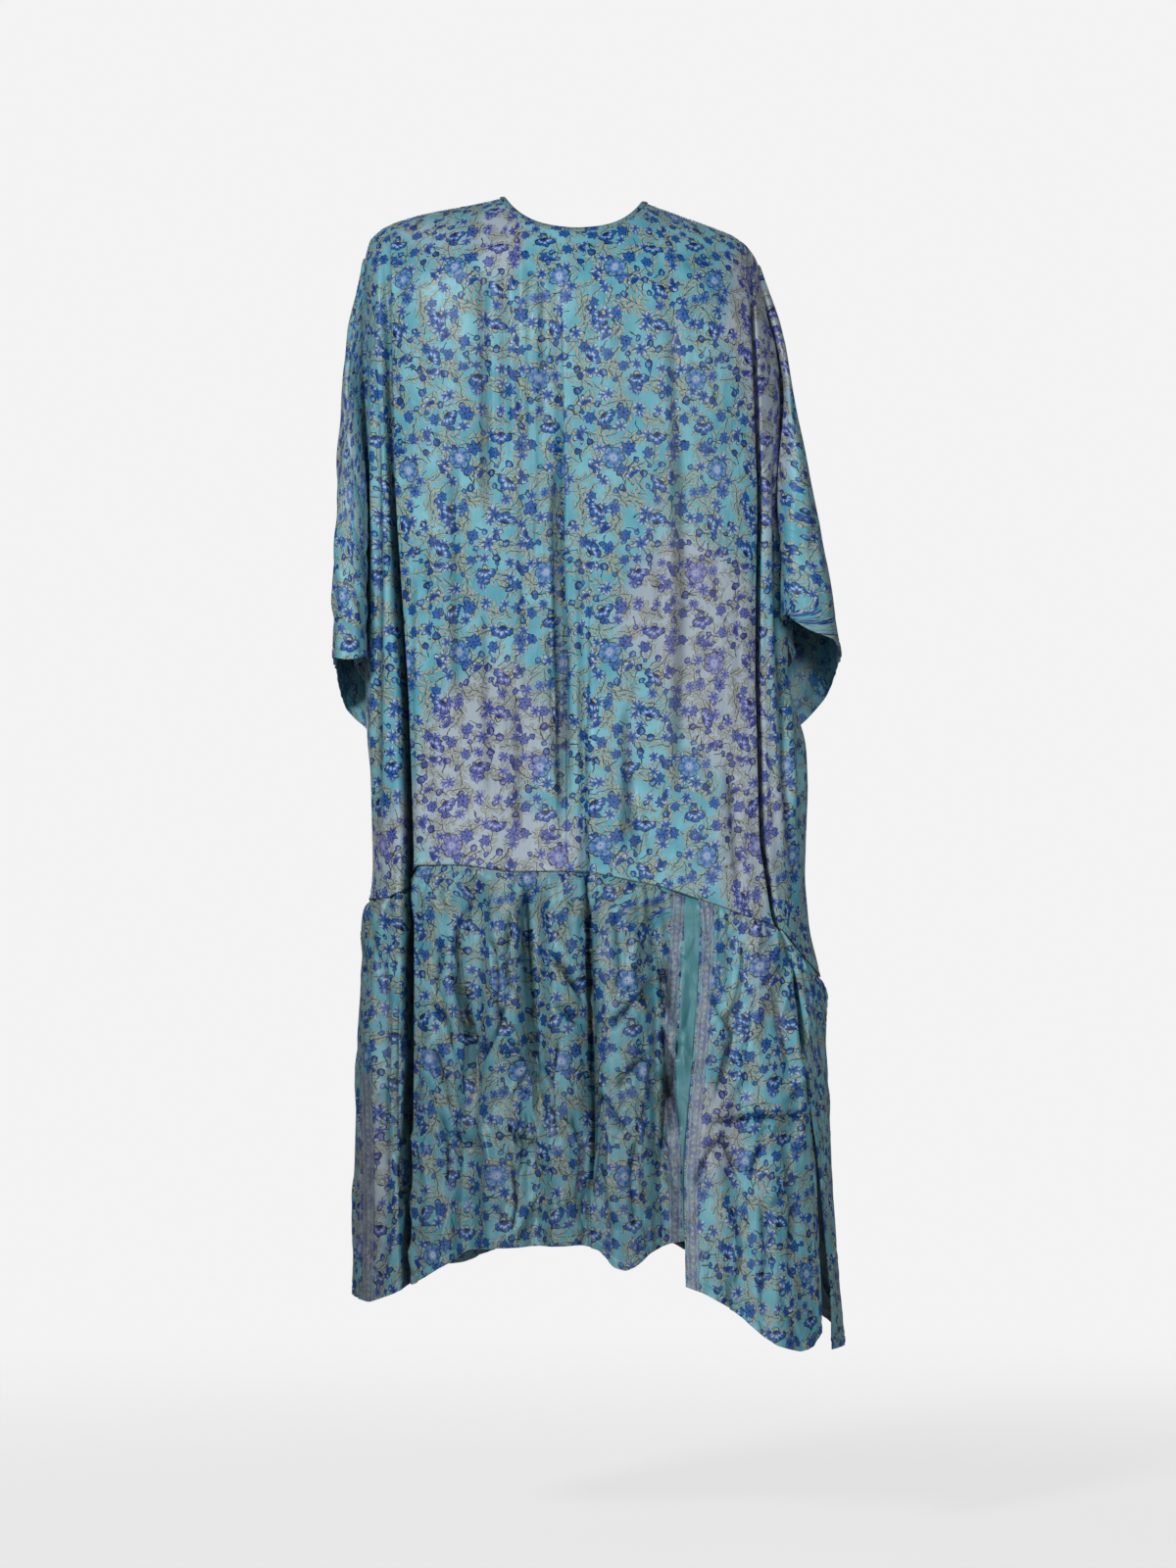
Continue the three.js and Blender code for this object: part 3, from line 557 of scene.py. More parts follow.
# ---------------------------------------------------------------- creases
def crease(x, z, height, plus, minus, *path):
    """A ridge along a path of points, which fades at both ends."""
    points = list(zip(path[::2], path[1::2]))
    lengths = [math.dist(a, b) for a, b in zip(points, points[1:])]
    nearest = np.full(x.shape, 1e9)
    signed = np.zeros(x.shape)
    along = np.zeros(x.shape)
    done = 0.0
    for (x0, z0), (x1, z1), length in zip(points, points[1:], lengths):
        dx, dz = x1 - x0, z1 - z0
        share = np.clip(((x - x0) * dx + (z - z0) * dz) / length**2, 0, 1)
        ex, ez = x - x0 - share * dx, z - z0 - share * dz
        distance = np.hypot(ex, ez)
        closer = distance < nearest
        signed = np.where(closer, distance * np.sign(dx * ez - dz * ex), signed)
        along = np.where(closer, (done + share * length) / sum(lengths), along)
        nearest = np.minimum(nearest, distance)
        done += length
    fade = smooth(along, 0, 0.18) * smooth(along, 1, 0.7)
    return height * fade * trough(signed, plus, minus, 2)


def creases(x, z, rows):
    return sum((crease(x, z, *row) for row in rows), np.zeros(x.shape))


def turned(across, down, middle, angle):
    """Places seen from a small crease's middle: beside it and along it."""
    a, d = across - middle[0], down - middle[1]
    return a * math.cos(angle) + d * math.sin(angle), d * math.cos(angle) - a * math.sin(angle)


def any_place(random, across, down):
    return random.uniform(across.min(), across.max()), random.uniform(down.min(), down.max())


def small_ridges(across, down, seed, count, height, width, length, slant):
    """Seeded small ridges and troughs over a stretch of cloth, mostly upright and a little bent."""
    random = np.random.RandomState(seed)
    total = np.zeros(across.shape)
    for _ in range(count):
        middle = any_place(random, across, down)
        angle = random.normal(0, slant)
        half = random.uniform(*length) / 2
        wide = random.uniform(*width)
        tall = random.uniform(*height) * random.choice([-1, 1])
        bend = random.uniform(-6, 6)
        beside, along = turned(across, down, middle, angle)
        beside = beside + bend * (along / half) ** 2
        near = np.clip(1 - (along / half) ** 2, 0, 1) ** 1.5
        total += tall * near * np.exp(-((beside / wide) ** 2))
    return total


def sharp_creases(across, down, seed, count, height, lean):
    """Seeded short creases with one crisp side, which lean to either side of upright."""
    random = np.random.RandomState(seed)
    total = np.zeros(across.shape)
    crisp = 1.5
    for _ in range(count):
        middle = any_place(random, across, down)
        angle = random.choice([-1, 1]) * random.uniform(*lean)
        half = random.uniform(14, 48)
        wide = random.uniform(4, 9)
        tall = random.uniform(*height) * random.choice([-1, -1, 1])
        bend = random.uniform(-5, 5)
        crisp_side = random.choice([-1, 1])
        beside, along = turned(across, down, middle, angle)
        beside = (beside + bend * (along / half) ** 2) * crisp_side
        near = np.clip(1 - (along / half) ** 2, 0, 1)
        total += tall * near * trough(beside, wide, crisp, 1.6)
    return total


def gathers(across, below, seed, height):
    """Small pleats that hang from the tier seam, uneven in spacing, length and height."""
    random = np.random.RandomState(seed)
    total = np.zeros(across.shape)
    place = across.min() + 3
    while place < across.max():
        length = random.choice(GATHER_LENGTHS, p=GATHER_SHARES) * random.uniform(0.8, 1.2)
        wide = random.uniform(2.0, 4.4) * (1 + below / 160)
        lean = random.normal(0, 0.06)
        tall = height * random.uniform(0.5, 1.3)
        rise = smooth(below, 1.5, 10) * smooth(below, length, 0.25 * length)
        total += tall * rise * trough(across - place - lean * below, wide, wide * 0.8, 2)
        place += random.uniform(6, 13)
    return total


def puckers(across, above, seed):
    """Small uneven ridges in a hem's stitching."""
    random = np.random.RandomState(seed)
    total = np.zeros(across.shape)
    place = across.min()
    while place < across.max():
        tall = random.uniform(-0.7, 1.0)
        reach = random.uniform(14, 32)
        lean = random.normal(0, 0.35)
        beside = (across - place - lean * above) / 3.2
        total += tall * np.exp(-(((above - 8) / reach) ** 2)) * np.exp(-(beside**2))
        place += random.uniform(4, 11)
    return total


def hem_fold(above):
    """The turned-up edge stands out a little, and its row of stitches is pulled in."""
    return 0.5 * smooth(above, 10.6, 8.5) - 0.5 * trough(above - 11, 1.4, 1.4)


# ---------------------------------------------------------------- meshes
def unit(vectors):
    return vectors / np.maximum(np.linalg.norm(vectors, axis=-1, keepdims=True), 1e-9)


def outward(points, closed=False):
    """Normals that point away from the wearer, of a grid whose columns run from +X over the back."""
    if closed:
        across = np.roll(points, -1, axis=1) - np.roll(points, 1, axis=1)
    else:
        across = np.gradient(points, axis=1)
    return unit(np.cross(np.gradient(points, axis=0), across))


def raised(points, relief, closed=False):
    return points + outward(points, closed) * relief[..., None]


def arc_lengths(points, axis):
    steps = np.linalg.norm(np.diff(points, axis=axis), axis=2)
    start = np.zeros_like(np.take(steps, [0], axis=axis))
    return np.concatenate([start, np.cumsum(steps, axis=axis)], axis=axis)


def linked(name, data):
    thing = bpy.data.objects.new(name, data)
    bpy.context.scene.collection.objects.link(thing)
    return thing


def write_marks(mesh, marks):
    for name, values in marks.items():
        attribute = mesh.attributes.new(name, "FLOAT", "POINT")
        attribute.data.foreach_set("value", values.astype(np.float32).ravel())


def shell(name, points, cloth, marks, closed=False, inside=0.5, normals=None):
    """A closed wall of cloth round a grid of points, with its cloth coordinates and its marks."""
    rows, columns = points.shape[:2]
    spans = columns if closed else columns - 1
    normals = outward(points, closed) if normals is None else normals
    sides = np.concatenate([points + normals * CLOTH / 2, points - normals * CLOTH / 2]).reshape(-1, 3)
    row, column = (part.ravel() for part in np.indices((rows - 1, spans)))
    face = np.stack([row, column, row + 1, column, row + 1, column + 1, row, column + 1], axis=1)
    face = face.reshape(-1, 4, 2)
    across, down = np.arange(spans), np.arange(rows - 1)
    first, last = 0 * across, 0 * across + rows - 1
    rims = [(first, across, first, across + 1), (last, across + 1, last, across)]
    if not closed:
        left, right = 0 * down, 0 * down + columns - 1
        rims += [(down + 1, left, down, left), (down, right, down + 1, right)]
    rim = np.concatenate([np.stack([a, b, c, d, c, d, a, b], axis=1) for a, b, c, d in rims])
    rim = rim.reshape(-1, 4, 2)
    cells = np.concatenate([face, face[:, ::-1], rim])
    layer = np.repeat([[0, 0, 0, 0], [1, 1, 1, 1], [0, 0, 1, 1]], [len(face), len(face), len(rim)], axis=0)
    vertex = cells[..., 0] * columns + cells[..., 1] % columns + layer * rows * columns
    mesh = bpy.data.meshes.new(name)
    mesh.vertices.add(len(sides))
    mesh.vertices.foreach_set("co", (sides * MM).ravel())
    mesh.loops.add(vertex.size)
    mesh.loops.foreach_set("vertex_index", vertex.ravel().astype(np.int32))
    mesh.polygons.add(len(vertex))
    mesh.polygons.foreach_set("loop_start", np.arange(0, vertex.size, 4, dtype=np.int32))
    mesh.update(calc_edges=True)
    print_map = mesh.uv_layers.new(name="cloth")
    print_map.data.foreach_set("uv", (cloth[cells[..., 0], cells[..., 1]] * MM).ravel())
    both_sides = {mark: np.concatenate([values, values]) for mark, values in marks.items()}
    # The inner layer has at least the inside amount of painted shade, for the robe's dim inside.
    both_sides["deep"][rows:] = np.maximum(marks["deep"], inside)
    write_marks(mesh, both_sides)
    slots = np.zeros(len(vertex), np.int32)
    slots[len(face) : 2 * len(face)] = 1
    mesh.polygons.foreach_set("material_index", slots)
    mesh.polygons.foreach_set("use_smooth", np.ones(len(vertex), bool))
    mesh.set_sharp_from_angle(angle=SHARP_EDGE)
    return linked(name, mesh)


def dye_of(points):
    x, y, z = points[..., 0], points[..., 1], points[..., 2]
    total = np.zeros(x.shape)
    for face, middle_x, middle_z, wide, tall, strength in DYE_PATCHES:
        reach = ((x - middle_x) / wide) ** 2 + ((z - middle_z) / tall) ** 2
        total += strength * np.exp(-(reach**1.4)) * smooth(face * y, -20, 20)
    return np.clip(total, 0, 1)


def marks_of(points, seam, hem, deep):
    """What the material needs at each point: dye, distances, the plain end, and its painted shade (the deep
    mark).
    """
    none = np.zeros(points.shape[:2])
    distances = {"from_seam": none + seam, "from_hem": none + hem, "band": none + FAR}
    return {"dye": dye_of(points), **distances, "plain": none, "deep": none + deep}


def cloth_coordinates(points, anchor, shift, level):
    """Lengths along the cloth: across from the anchor column, and down from one level height."""
    across = arc_lengths(points, 1)
    across = across - across[:, anchor : anchor + 1]
    down = arc_lengths(points[..., 1:], 0)
    for i in range(points.shape[1]):
        down[:, i] -= np.interp(-level, -points[:, i, 2], down[:, i]) + level
    return np.stack([shift[0] - across, shift[1] - down], axis=2)


def side_fade(columns, left, right):
    """0 at a piece's side edges, where it is sewn, and 1 a few columns in."""
    place = np.arange(columns)
    from_left = smooth(place, 0, left) if left else np.ones(columns)
    from_right = smooth(columns - 1 - place, 0, right) if right else np.ones(columns)
    return (from_left * from_right)[None, :]


def spaced(length, spacing, start, end):
    """Shares of a length, evenly spaced, with closer ones at these distances from its ends."""
    even = np.linspace(0, length, round(length / spacing) + 1)
    room = spacing * 0.4
    even = even[(even > max(start) + room) & (even < length - max(end) - room)]
    return np.concatenate([start, even, length - np.array(end[::-1])]) / length


def upper_piece(name, columns, face, seed, shift, hand=(), anchor=0):
    """Cloth from the shoulder line, or from the neck's edge behind, down to the tier's seam."""
    x, shoulder = shoulder_points(columns)
    top = back_top(x) if face > 0 else shoulder
    bottom = seam_height(columns.turns_at(SEAM_MIDDLE)) + SEAM_GAP
    rolled = shoulder - SHOULDER_ROLL
    roll_turns = np.radians(np.linspace(0, 90, round(ROLL_LENGTH / SPACING_DOWN)))[:, None]
    roll_rows = top - (top - rolled) * (1 - np.cos(roll_turns))
    lower = spaced(UPPER_LENGTH, SPACING_DOWN, [0], SEAM_ROWS)[1:, None]
    z = np.concatenate([roll_rows, rolled + (bottom - rolled) * lower])
    x, y, z, plain = surface(columns.turns(z), z)
    y[0] = np.where(np.abs(y[0]) < SEAM_GAP, face * SEAM_GAP / 2, y[0])
    points = np.stack([x, y, z], axis=2)
    cloth = cloth_coordinates(points, anchor, shift, UPPER_LEVEL)
    across = cloth[..., 0]
    above = z - z[-1]
    under = arc_lengths(points, 0)
    relief = UPPER_CREASES_SCALE * creases(x, z, hand)
    # Painted shade in the long folds and in the troughs of the listed creases.
    shade = np.maximum(painted_fold_shade(plain, z, face), 0.7 * smooth(-relief, 0.5, 3.4))
    for step, count, *sizes in UPPER_RIDGES:
        relief += small_ridges(across, z, seed + step, count, *sizes)
    fade = smooth(under, 0, 14) * smooth(above, 0, 10) * side_fade(columns.count, 6, 6)
    relief = relief * fade + 0.8 * smooth(above, 7, 2)  # the end stands out over the seam
    marks = marks_of(points, above, FAR, shade)
    points = raised(points, relief)
    normals = outward(points)
    level = unit(normals[0] * [1, 0, 1])
    on_shoulder = np.abs(points[0, :, 1]) < 1
    normals[0] = np.where(on_shoulder[:, None], level, normals[0])
    return shell(name, points, cloth, marks, normals=normals)


def tier_piece(
    name,
    columns,
    hem_at,
    seed,
    shift,
    sewn,
    hand=(),
    anchor=0,
    lapped=False,
    border=None,
    dim=(0.12, 0.2),
    inside=0.5,
):
    """Cloth of the gathered tier, from its seam to its hem.

    dim is the painted shade that it has near the seam and near the hem, darker toward the hem, and
    inside is the least painted shade that its wrong side has.
    """
    top = seam_height(columns.turns_at(SEAM_MIDDLE)) + SEAM_LAP
    bottom = hem_at(columns.turns_at(HEM_MIDDLE))
    z = top + (bottom - top) * spaced(TIER_LENGTH, SPACING_DOWN_TIER, SEAM_ROWS, HEM_ROWS)[:, None]
    turn = columns.turns(z)
    x, y, z, plain = surface(turn, z)
    face = 1 if abs(turn.mean()) < 60 else -1
    if lapped:
        y = y - LAP["depth"] * smooth(-x, -LAP["start"], -LAP["end"])
    points = np.stack([x, y, z], axis=2)
    cloth = cloth_coordinates(points, anchor, shift, TIER_LEVEL)
    below = z[0] - z
    above = z - z[-1]
    across = arc_lengths(points, 1)
    width = across.max()
    relief = TIER_CREASES_SCALE * creases(x, z, hand) * smooth(below, 0, 25)
    relief += gathers(np.where(np.abs(x) > 150, across, x), below, seed, GATHER_HEIGHT)
    for step, width_for_one, *sizes in TIER_RIDGES:
        relief += small_ridges(across, z, seed + step, int(width / width_for_one), *sizes)
    count = int(width / TIER_SHARP_WIDTH)
    relief += sharp_creases(across, z, seed + 6, count, (1.6, 4.4), (0.1, 0.9))
    relief += puckers(across, above, seed + 5)
    relief += 2.0 * smooth(below, 1, 16) * smooth(below, 75, 20)
    relief -= 1.2 * smooth(below, 6, 3)  # the seam pulls it in
    relief *= 0.25 + 0.75 * side_fade(columns.count, *sewn)
    # Painted shade in the long folds and in every crease trough.
    shade = np.maximum(painted_fold_shade(plain, z, face), 0.85 * smooth(-relief, 0.8, 8))
    points = raised(points, relief + hem_fold(above))
    # Painted shade over the whole piece, darker toward the hem, under the painted shade of folds and
    # creases.
    share = dim[0] + (dim[1] - dim[0]) * smooth(below, 90, 300)
    marks = marks_of(points, below, above, share + (1 - share) * shade)
    if border:
        marks["band"], marks["plain"] = border(points)
    return shell(name, points, cloth, marks, inside=inside)


def border_behind(points):
    """The woven border near the under layer's end with the plain end beyond it, and the left one."""
    x, z = points[..., 0], points[..., 2]
    right = x - read(BORDER_UNDER, "x", z, 20)
    left = np.where(z > BORDER_LEFT_TOP, FAR, x - read(BORDER_LEFT, "x", z, 10))
    on_left = x > BORDER_SPLIT
    return np.where(on_left, left, right), (~on_left & (right < -BORDER_HALF - 0.5)) * 1.0


def border_on_lap(points):
    x, z = points[..., 0], points[..., 2]
    return x - (at_height(LINES["lap_edge"], z) - BORDER_LAP), 0 * z


# ---------------------------------------------------------------- sleeves
ARMHOLE_MARGIN = 2  # a sleeve starts this far inside the armhole's ends
ARMHOLE_INSET = 2.3  # and this far inside the body's cloth
ARMHOLE_END = 30  # how sharply its first ring closes at the armhole's ends
SLEEVE_TUCK = 2.8  # its second ring is this far out
RING_BLEND = 16  # sleeve sections are blended over this length
TYPICAL_SECTION = (13, 96)  # half of a section's width and of its depth, for spreading the columns


def armhole_ring(side, around):
    """Points round the armhole, a little inside the body's cloth."""
    ends = Columns([side_edge(side, 1)] * 2, -300, 1e6)
    top = float(shoulder_points(ends)[1][0, 0]) - ARMHOLE_MARGIN
    bottom = UNDERARM + ARMHOLE_MARGIN
    z = top - (top - bottom) * (1 - np.cos(around)) / 2
    behind = np.sin(around) >= 0
    back, front = (surface(side_edge(side, face)(z), z) for face in (1, -1))
    x = np.where(behind, back[0], front[0])
    room = np.maximum(0, np.abs(np.where(behind, back[1], front[1])) - ARMHOLE_INSET)
    y = np.where(behind, 1, -1) * room * np.minimum(1, np.abs(np.sin(around)) * ARMHOLE_END)
    return np.stack([x, y, z], axis=1)


def sleeve_ring(side, around, section, lift):
    out_x, out_z, in_x, in_z, depth = section
    share = (1 - np.cos(around)) / 2
    x = out_x + (in_x - out_x) * share
    z = out_z + (in_z - out_z) * share + lift
    reach = depth * power(np.sin(around), SLEEVE_SQUARE)
    return np.stack([side * x, reach * np.where(reach > 0, SLEEVE_FLAT, 1), z], axis=1)


def even_turns(count):
    """Angles that place points evenly round a typical sleeve section."""
    fine = np.linspace(0, 2 * math.pi, 40001)
    wide, deep = TYPICAL_SECTION
    section = np.stack([wide * np.cos(fine), deep * power(np.sin(fine), SLEEVE_SQUARE)], axis=1)
    run = running(np.linalg.norm(np.diff(section, axis=0), axis=1))
    return np.interp(np.linspace(0, run[-1], count + 1)[:-1], run, fine)


def sleeve_grid(cut, around):
    """Rows of points down a sleeve: smoothed rings, and their distances from the armhole."""
    side, sections = cut["side"], cut["sections"]
    start = armhole_ring(side, around)
    rings = [start, start + [side * SLEEVE_TUCK, 0, 0]]
    rings += [sleeve_ring(side, around, section, 0) for section in sections[:-1]]
    rings.append(sleeve_ring(side, around, sections[-1], read(cut["hem"], "lift", np.degrees(around), 6)))
    rings = np.array(rings)
    place = running(np.linalg.norm(np.diff(rings, axis=0), axis=2).mean(axis=1))
    total = place[-1]
    rows = spaced(total, SPACING_DOWN, SEAM_ROWS, HEM_ROWS) * total
    flat = rings.reshape(len(rings), -1).T
    points = np.zeros((len(rows), len(flat)))
    room = np.minimum(np.minimum(rows, total - rows), RING_BLEND)
    for step, weight in zip(ROUNDING, ROUNDING_WEIGHTS):
        at = rows + step * room
        points += weight * np.array([np.interp(at, place, values) for values in flat]).T
    points = points.reshape(len(rows), len(around), 3)
    behind = smooth(np.abs(points[..., 1]), 15, 55) * smooth(np.cos(around), 0.7, -0.6)
    points[..., 0] -= side * SLEEVE_LEAN * behind * smooth(rows, 8, 60)[:, None]
    return (points if side > 0 else points[:, ::-1]), rows


def sleeve_piece(name, cut, seed, shift):
    points, rows = sleeve_grid(cut, even_turns(SLEEVE_COLUMNS))
    closed = np.concatenate([points, points[:, :1]], axis=1)
    cloth = cloth_coordinates(closed, 0, shift, SLEEVE_LEVEL)
    below = np.repeat(rows[:, None], SLEEVE_COLUMNS, axis=1)
    above = rows[-1] - below
    column = np.arange(SLEEVE_COLUMNS)
    across = 0 * below + 3.0 * (column + 1)
    relief = 0 * below
    for step, count, *sizes in SLEEVE_RIDGES:
        relief += small_ridges(across, -below, seed + step, count, *sizes)
    relief += sharp_creases(across, -below, seed + 6, SLEEVE_SHARP_COUNT, (0.8, 2.6), (0.05, 0.6))
    relief += 0.7 * puckers(across, above, seed + 2)
    relief *= smooth(below, 2, 30)
    relief *= 0.35 + 0.65 * smooth(np.minimum(column, SLEEVE_COLUMNS - column), 0, 6)
    relief += hem_fold(above)
    points = raised(points, relief, True)
    # Painted shade in the sleeve's crease troughs.
    marks = marks_of(points, below, above, 0.6 * smooth(-relief, 0.8, 6))
    return shell(name, points, cloth, marks, closed=True, inside=0)


# ---------------------------------------------------------------- neck binding
# Its section: distance in from the edge, and out from the cloth.
BINDING_SECTION = [
    (5.7, 0.7),
    (5.4, 1.5),
    (3.8, 1.9),
    (1.2, 1.9),
    (-0.7, 1.3),
    (-1.3, 0),
    (-0.7, -1.2),
    (1.2, -1.7),
    (4.2, -1.5),
    (5.4, -0.6),
]
BINDING_ROUND = 18.0  # length round the section


def front_edge_path(line, neck_x):
    top = float(back_top(neck_x))
    roll = (top + SHOULDER_ROLL) * (1 - np.cos(np.radians(np.linspace(2, 90, 60))))
    low = float(seam_height(180)) + SEAM_GAP
    heights = np.concatenate([top - roll, np.linspace(-SHOULDER_ROLL, low, 170)[1:]])
    return [(float(on_line(line, -1)(z)), z) for z in heights]


def edge_path():
    """Turns and heights along the open edge: up the left front, round the neck, down the right."""
    left = front_edge_path("front_left_edge", NECK_HALF)
    right = front_edge_path("front_right_edge", -NECK_HALF)
    angles = np.radians(np.linspace(0, 180, 120))
    neck_x = NECK_HALF * power(np.cos(angles), 2 / NECK_FULLNESS)
    neck = [(float(turn_of(x, z, 1)), float(z)) for x, z in zip(neck_x, back_top(neck_x))]
    return np.array(left[::-1] + neck + right).T


def evenly(points, spacing, *rows):
    """Points and other rows along a path, resampled at an even spacing."""
    run = arc_lengths(points[None], 1)[0]
    place = np.linspace(0, run[-1], round(run[-1] / spacing))
    columns = [[np.interp(place, run, row[:, i]) for i in range(3)] for row in (points, *rows)]
    return [np.stack(column, axis=1) for column in columns]


def smoothed(directions, reach):
    kernel = np.hanning(2 * reach + 1) / np.hanning(2 * reach + 1).sum()
    padded = np.pad(directions, ((reach, reach), (0, 0)), "edge")
    return unit(np.stack([np.convolve(padded[:, i], kernel, "valid") for i in range(3)], axis=1))


def binding_piece():
    """The narrow binding round the open edge: a closed section carried along it."""
    turn, z = edge_path()
    beside = surface_points(turn + 0.4, z - 0.5) - surface_points(turn - 0.4, z - 0.5)
    down = surface_points(turn, z - 1.2) - surface_points(turn, z - 0.4)
    middle, out = evenly(surface_points(turn, z), 2.6, unit(-np.cross(down, beside)))
    out = smoothed(out, 5)
    inward = unit(np.cross(smoothed(np.gradient(middle, axis=0), 3), out))
    points = np.stack([middle + inward * d + out * h for d, h in BINDING_SECTION], axis=1)
    count, around = points.shape[:2]
    faces = []
    for start in range(0, (count - 1) * around, around):
        for k in range(around):
            after = (k + 1) % around
            faces.append((start + k, start + around + k, start + around + after, start + after))
    faces.append(tuple(range(around)))
    faces.append(tuple(range(count * around - 1, (count - 1) * around - 1, -1)))
    mesh = bpy.data.meshes.new("silk_binding")
    mesh.from_pydata((points.reshape(-1, 3) * MM).tolist(), [], faces)
    layer = mesh.uv_layers.new(name="cloth")
    lengths = arc_lengths(middle[None], 1)[0]
    section = [*running(np.linalg.norm(np.diff(BINDING_SECTION, axis=0), axis=1)), BINDING_ROUND]
    for polygon in mesh.polygons:
        places = [v % around for v in polygon.vertices]
        wraps = max(places) - min(places) > 2
        for loop, v, place in zip(polygon.loop_indices, polygon.vertices, places):
            round_place = around if wraps and place == 0 else place
            layer.data[loop].uv = (lengths[v // around] * MM, section[round_place] * MM)
        polygon.use_smooth = True
    # The binding is drawn a little darker all over, through the same mark as the painted shade.
    write_marks(mesh, marks_of(points, FAR, FAR, 0.4))
    return linked("silk_binding", mesh)


# ---------------------------------------------------------------- material arithmetic
def new_node(tree, kind, *items):
    """Adds a node, with the items in its first inputs."""
    node = tree.nodes.new("ShaderNode" + kind)
    for item, place in zip(items, node.inputs):
        plug(tree, item, place)
    return node


def plug(tree, item, place):
    if isinstance(item, Number):
        tree.links.new(item.socket, place)
    else:
        place.default_value = item


def maths(tree, operation, *items):
    node = new_node(tree, "Math", *items)
    node.operation = operation
    return Number(tree, node.outputs[0])


def math_method(operation):
    return lambda self, *others: maths(self.tree, operation, self, *others)


class Number:
    """A number or colour worked out inside a material. Arithmetic on it adds Math nodes."""

    def __init__(self, tree, socket):
        self.tree = tree
        self.socket = socket

    def __rsub__(self, other):
        return maths(self.tree, "SUBTRACT", other, self)

    def step(self, low, high):
        """Rises smoothly from 0 at low to 1 at high; high may be the lower of the two."""
        node = new_node(self.tree, "MapRange", self, low, high)
        node.interpolation_type = "SMOOTHSTEP"
        return Number(self.tree, node.outputs[0])

    __add__ = __radd__ = math_method("ADD")
    __sub__ = math_method("SUBTRACT")
    __mul__ = __rmul__ = math_method("MULTIPLY")
    __truediv__ = math_method("DIVIDE")
    __abs__ = math_method("ABSOLUTE")
    floor = math_method("FLOOR")
    cosine = math_method("COSINE")
    sine = math_method("SINE")
    root = math_method("SQRT")
    power = math_method("POWER")
    wrap = math_method("FLOORED_MODULO")
    below = math_method("LESS_THAN")
    above = math_method("GREATER_THAN")
    most = math_method("MAXIMUM")


def blend(share, first, second):
    """A colour between two."""
    node = new_node(share.tree, "Mix", share)
    node.data_type = "RGBA"
    plug(share.tree, first, node.inputs[6])
    plug(share.tree, second, node.inputs[7])
    return Number(share.tree, node.outputs[2])


def vector(tree, *items):
    return Number(tree, new_node(tree, "CombineXYZ", *items).outputs[0])


def parts(tree, item):
    return [Number(tree, output) for output in new_node(tree, "SeparateXYZ", item).outputs]


def noise(tree, place, scale, detail=2.0, roughness=0.5):
    """Soft noise from 0 to 1, as a number and as three numbers."""
    node = new_node(tree, "TexNoise", place)
    node.inputs["Scale"].default_value = scale
    node.inputs["Detail"].default_value = detail
    node.inputs["Roughness"].default_value = roughness
    return Number(tree, node.outputs[0]), Number(tree, node.outputs[1])


def chances(tree, *key):
    """A random number from 0 to 1 for each key, and three more together."""
    node = new_node(tree, "TexWhiteNoise", vector(tree, *key))
    return Number(tree, node.outputs["Value"]), Number(tree, node.outputs["Color"])


def mark(tree, name):
    node = new_node(tree, "Attribute")
    node.attribute_name = name
    return Number(tree, node.outputs["Fac"])


def ink(code):
    """A colour from its usual six-digit form."""
    levels = [int(code[i : i + 2], 16) / 255 for i in (0, 2, 4)]
    return (*[c / 12.92 if c <= 0.04045 else ((c + 0.055) / 1.055) ** 2.4 for c in levels], 1)


# ---------------------------------------------------------------- the print's motifs
FULL_TURN = 2 * math.pi
TINY = 0.0001


def scattered(tree, place, lattice, seed, loose):
    """Cells of the repeat: the place from a point set loosely in the cell, a spin and a chance."""
    across, down, swapped, offset = lattice
    x, y = place[0] + offset[0], place[1] + offset[1]
    width, height = REPEAT[0] / across, REPEAT[1] / down
    if swapped:
        x, y = y, x
        across, down = down, across
        width, height = height, width
    wave = FULL_TURN / (width * across)
    y = y + (x * wave + seed).sine() * ROW_SWAY
    row = (y / height).floor()
    slide, _ = chances(tree, row.wrap(down) + 0.5, seed, 1.5)
    shifted = x + slide * width
    column = (shifted / width).floor()
    chance, three = chances(tree, column.wrap(across) + 0.5, row.wrap(down) + 0.5, seed)
    first, second, spin = parts(tree, three)
    aside = shifted - column * width - first * loose[0] - (width - loose[0]) / 2
    y = y - row * height - second * loose[1] - (height - loose[1]) / 2
    y = y - ((x * wave + seed).sine() - ((x - aside) * wave + seed).sine()) * ROW_SWAY
    return aside, y, spin, chance


def polar(cell):
    """Distance from the middle, angle from the motif's axis from -pi to pi, and the cell's chance."""
    x, y, spin, chance = cell
    angle = maths(x.tree, "ARCTAN2", y, x) + spin * FULL_TURN
    return (x * x + y * y).root(), angle.wrap(FULL_TURN) - math.pi, chance


def outlined(base, inks, inside, line, colour):
    return blend(inside, base, blend(line, colour, inks["navy"]))


def lobed(radius, angle, lobes, rounding, depth, size):
    """How far out in a petal, as a share of a scalloped outline's radius, and how near its middle."""
    lobe = abs((angle * lobes).cosine())
    return radius / ((lobe.power(rounding) * depth + (1 - depth)) * size), lobe


def round_flower(base, inks, cell, size):
    """Six scalloped petals with a pale middle of fine rays."""
    radius, angle, _ = polar(cell)
    reach, lobe = lobed(radius, angle, 3, 0.6, 0.2, size)
    ray = (angle * 18).cosine()
    pale = reach.step(0.62, 0.1) * (ray.step(-0.6, 0.9) * 0.6 + 0.4)
    shade = ray.step(0.2, 1.0) * reach.step(0.3, 0.55) * 0.5
    body = blend(reach.step(0.35, 0.95), inks["blue"], inks["light"])
    colour = blend(pale, blend(shade, body, inks["deep"]), inks["pale"])
    notch = lobe.step(0.34, 0.1) * reach.step(0.4, 0.6)
    line = notch.most(reach.step(0.86, 0.94)) * 0.9
    line = line.most(reach.step(0.09, 0.06) * 0.8)
    return outlined(base, inks, reach.step(1.02, 0.98), line, colour)


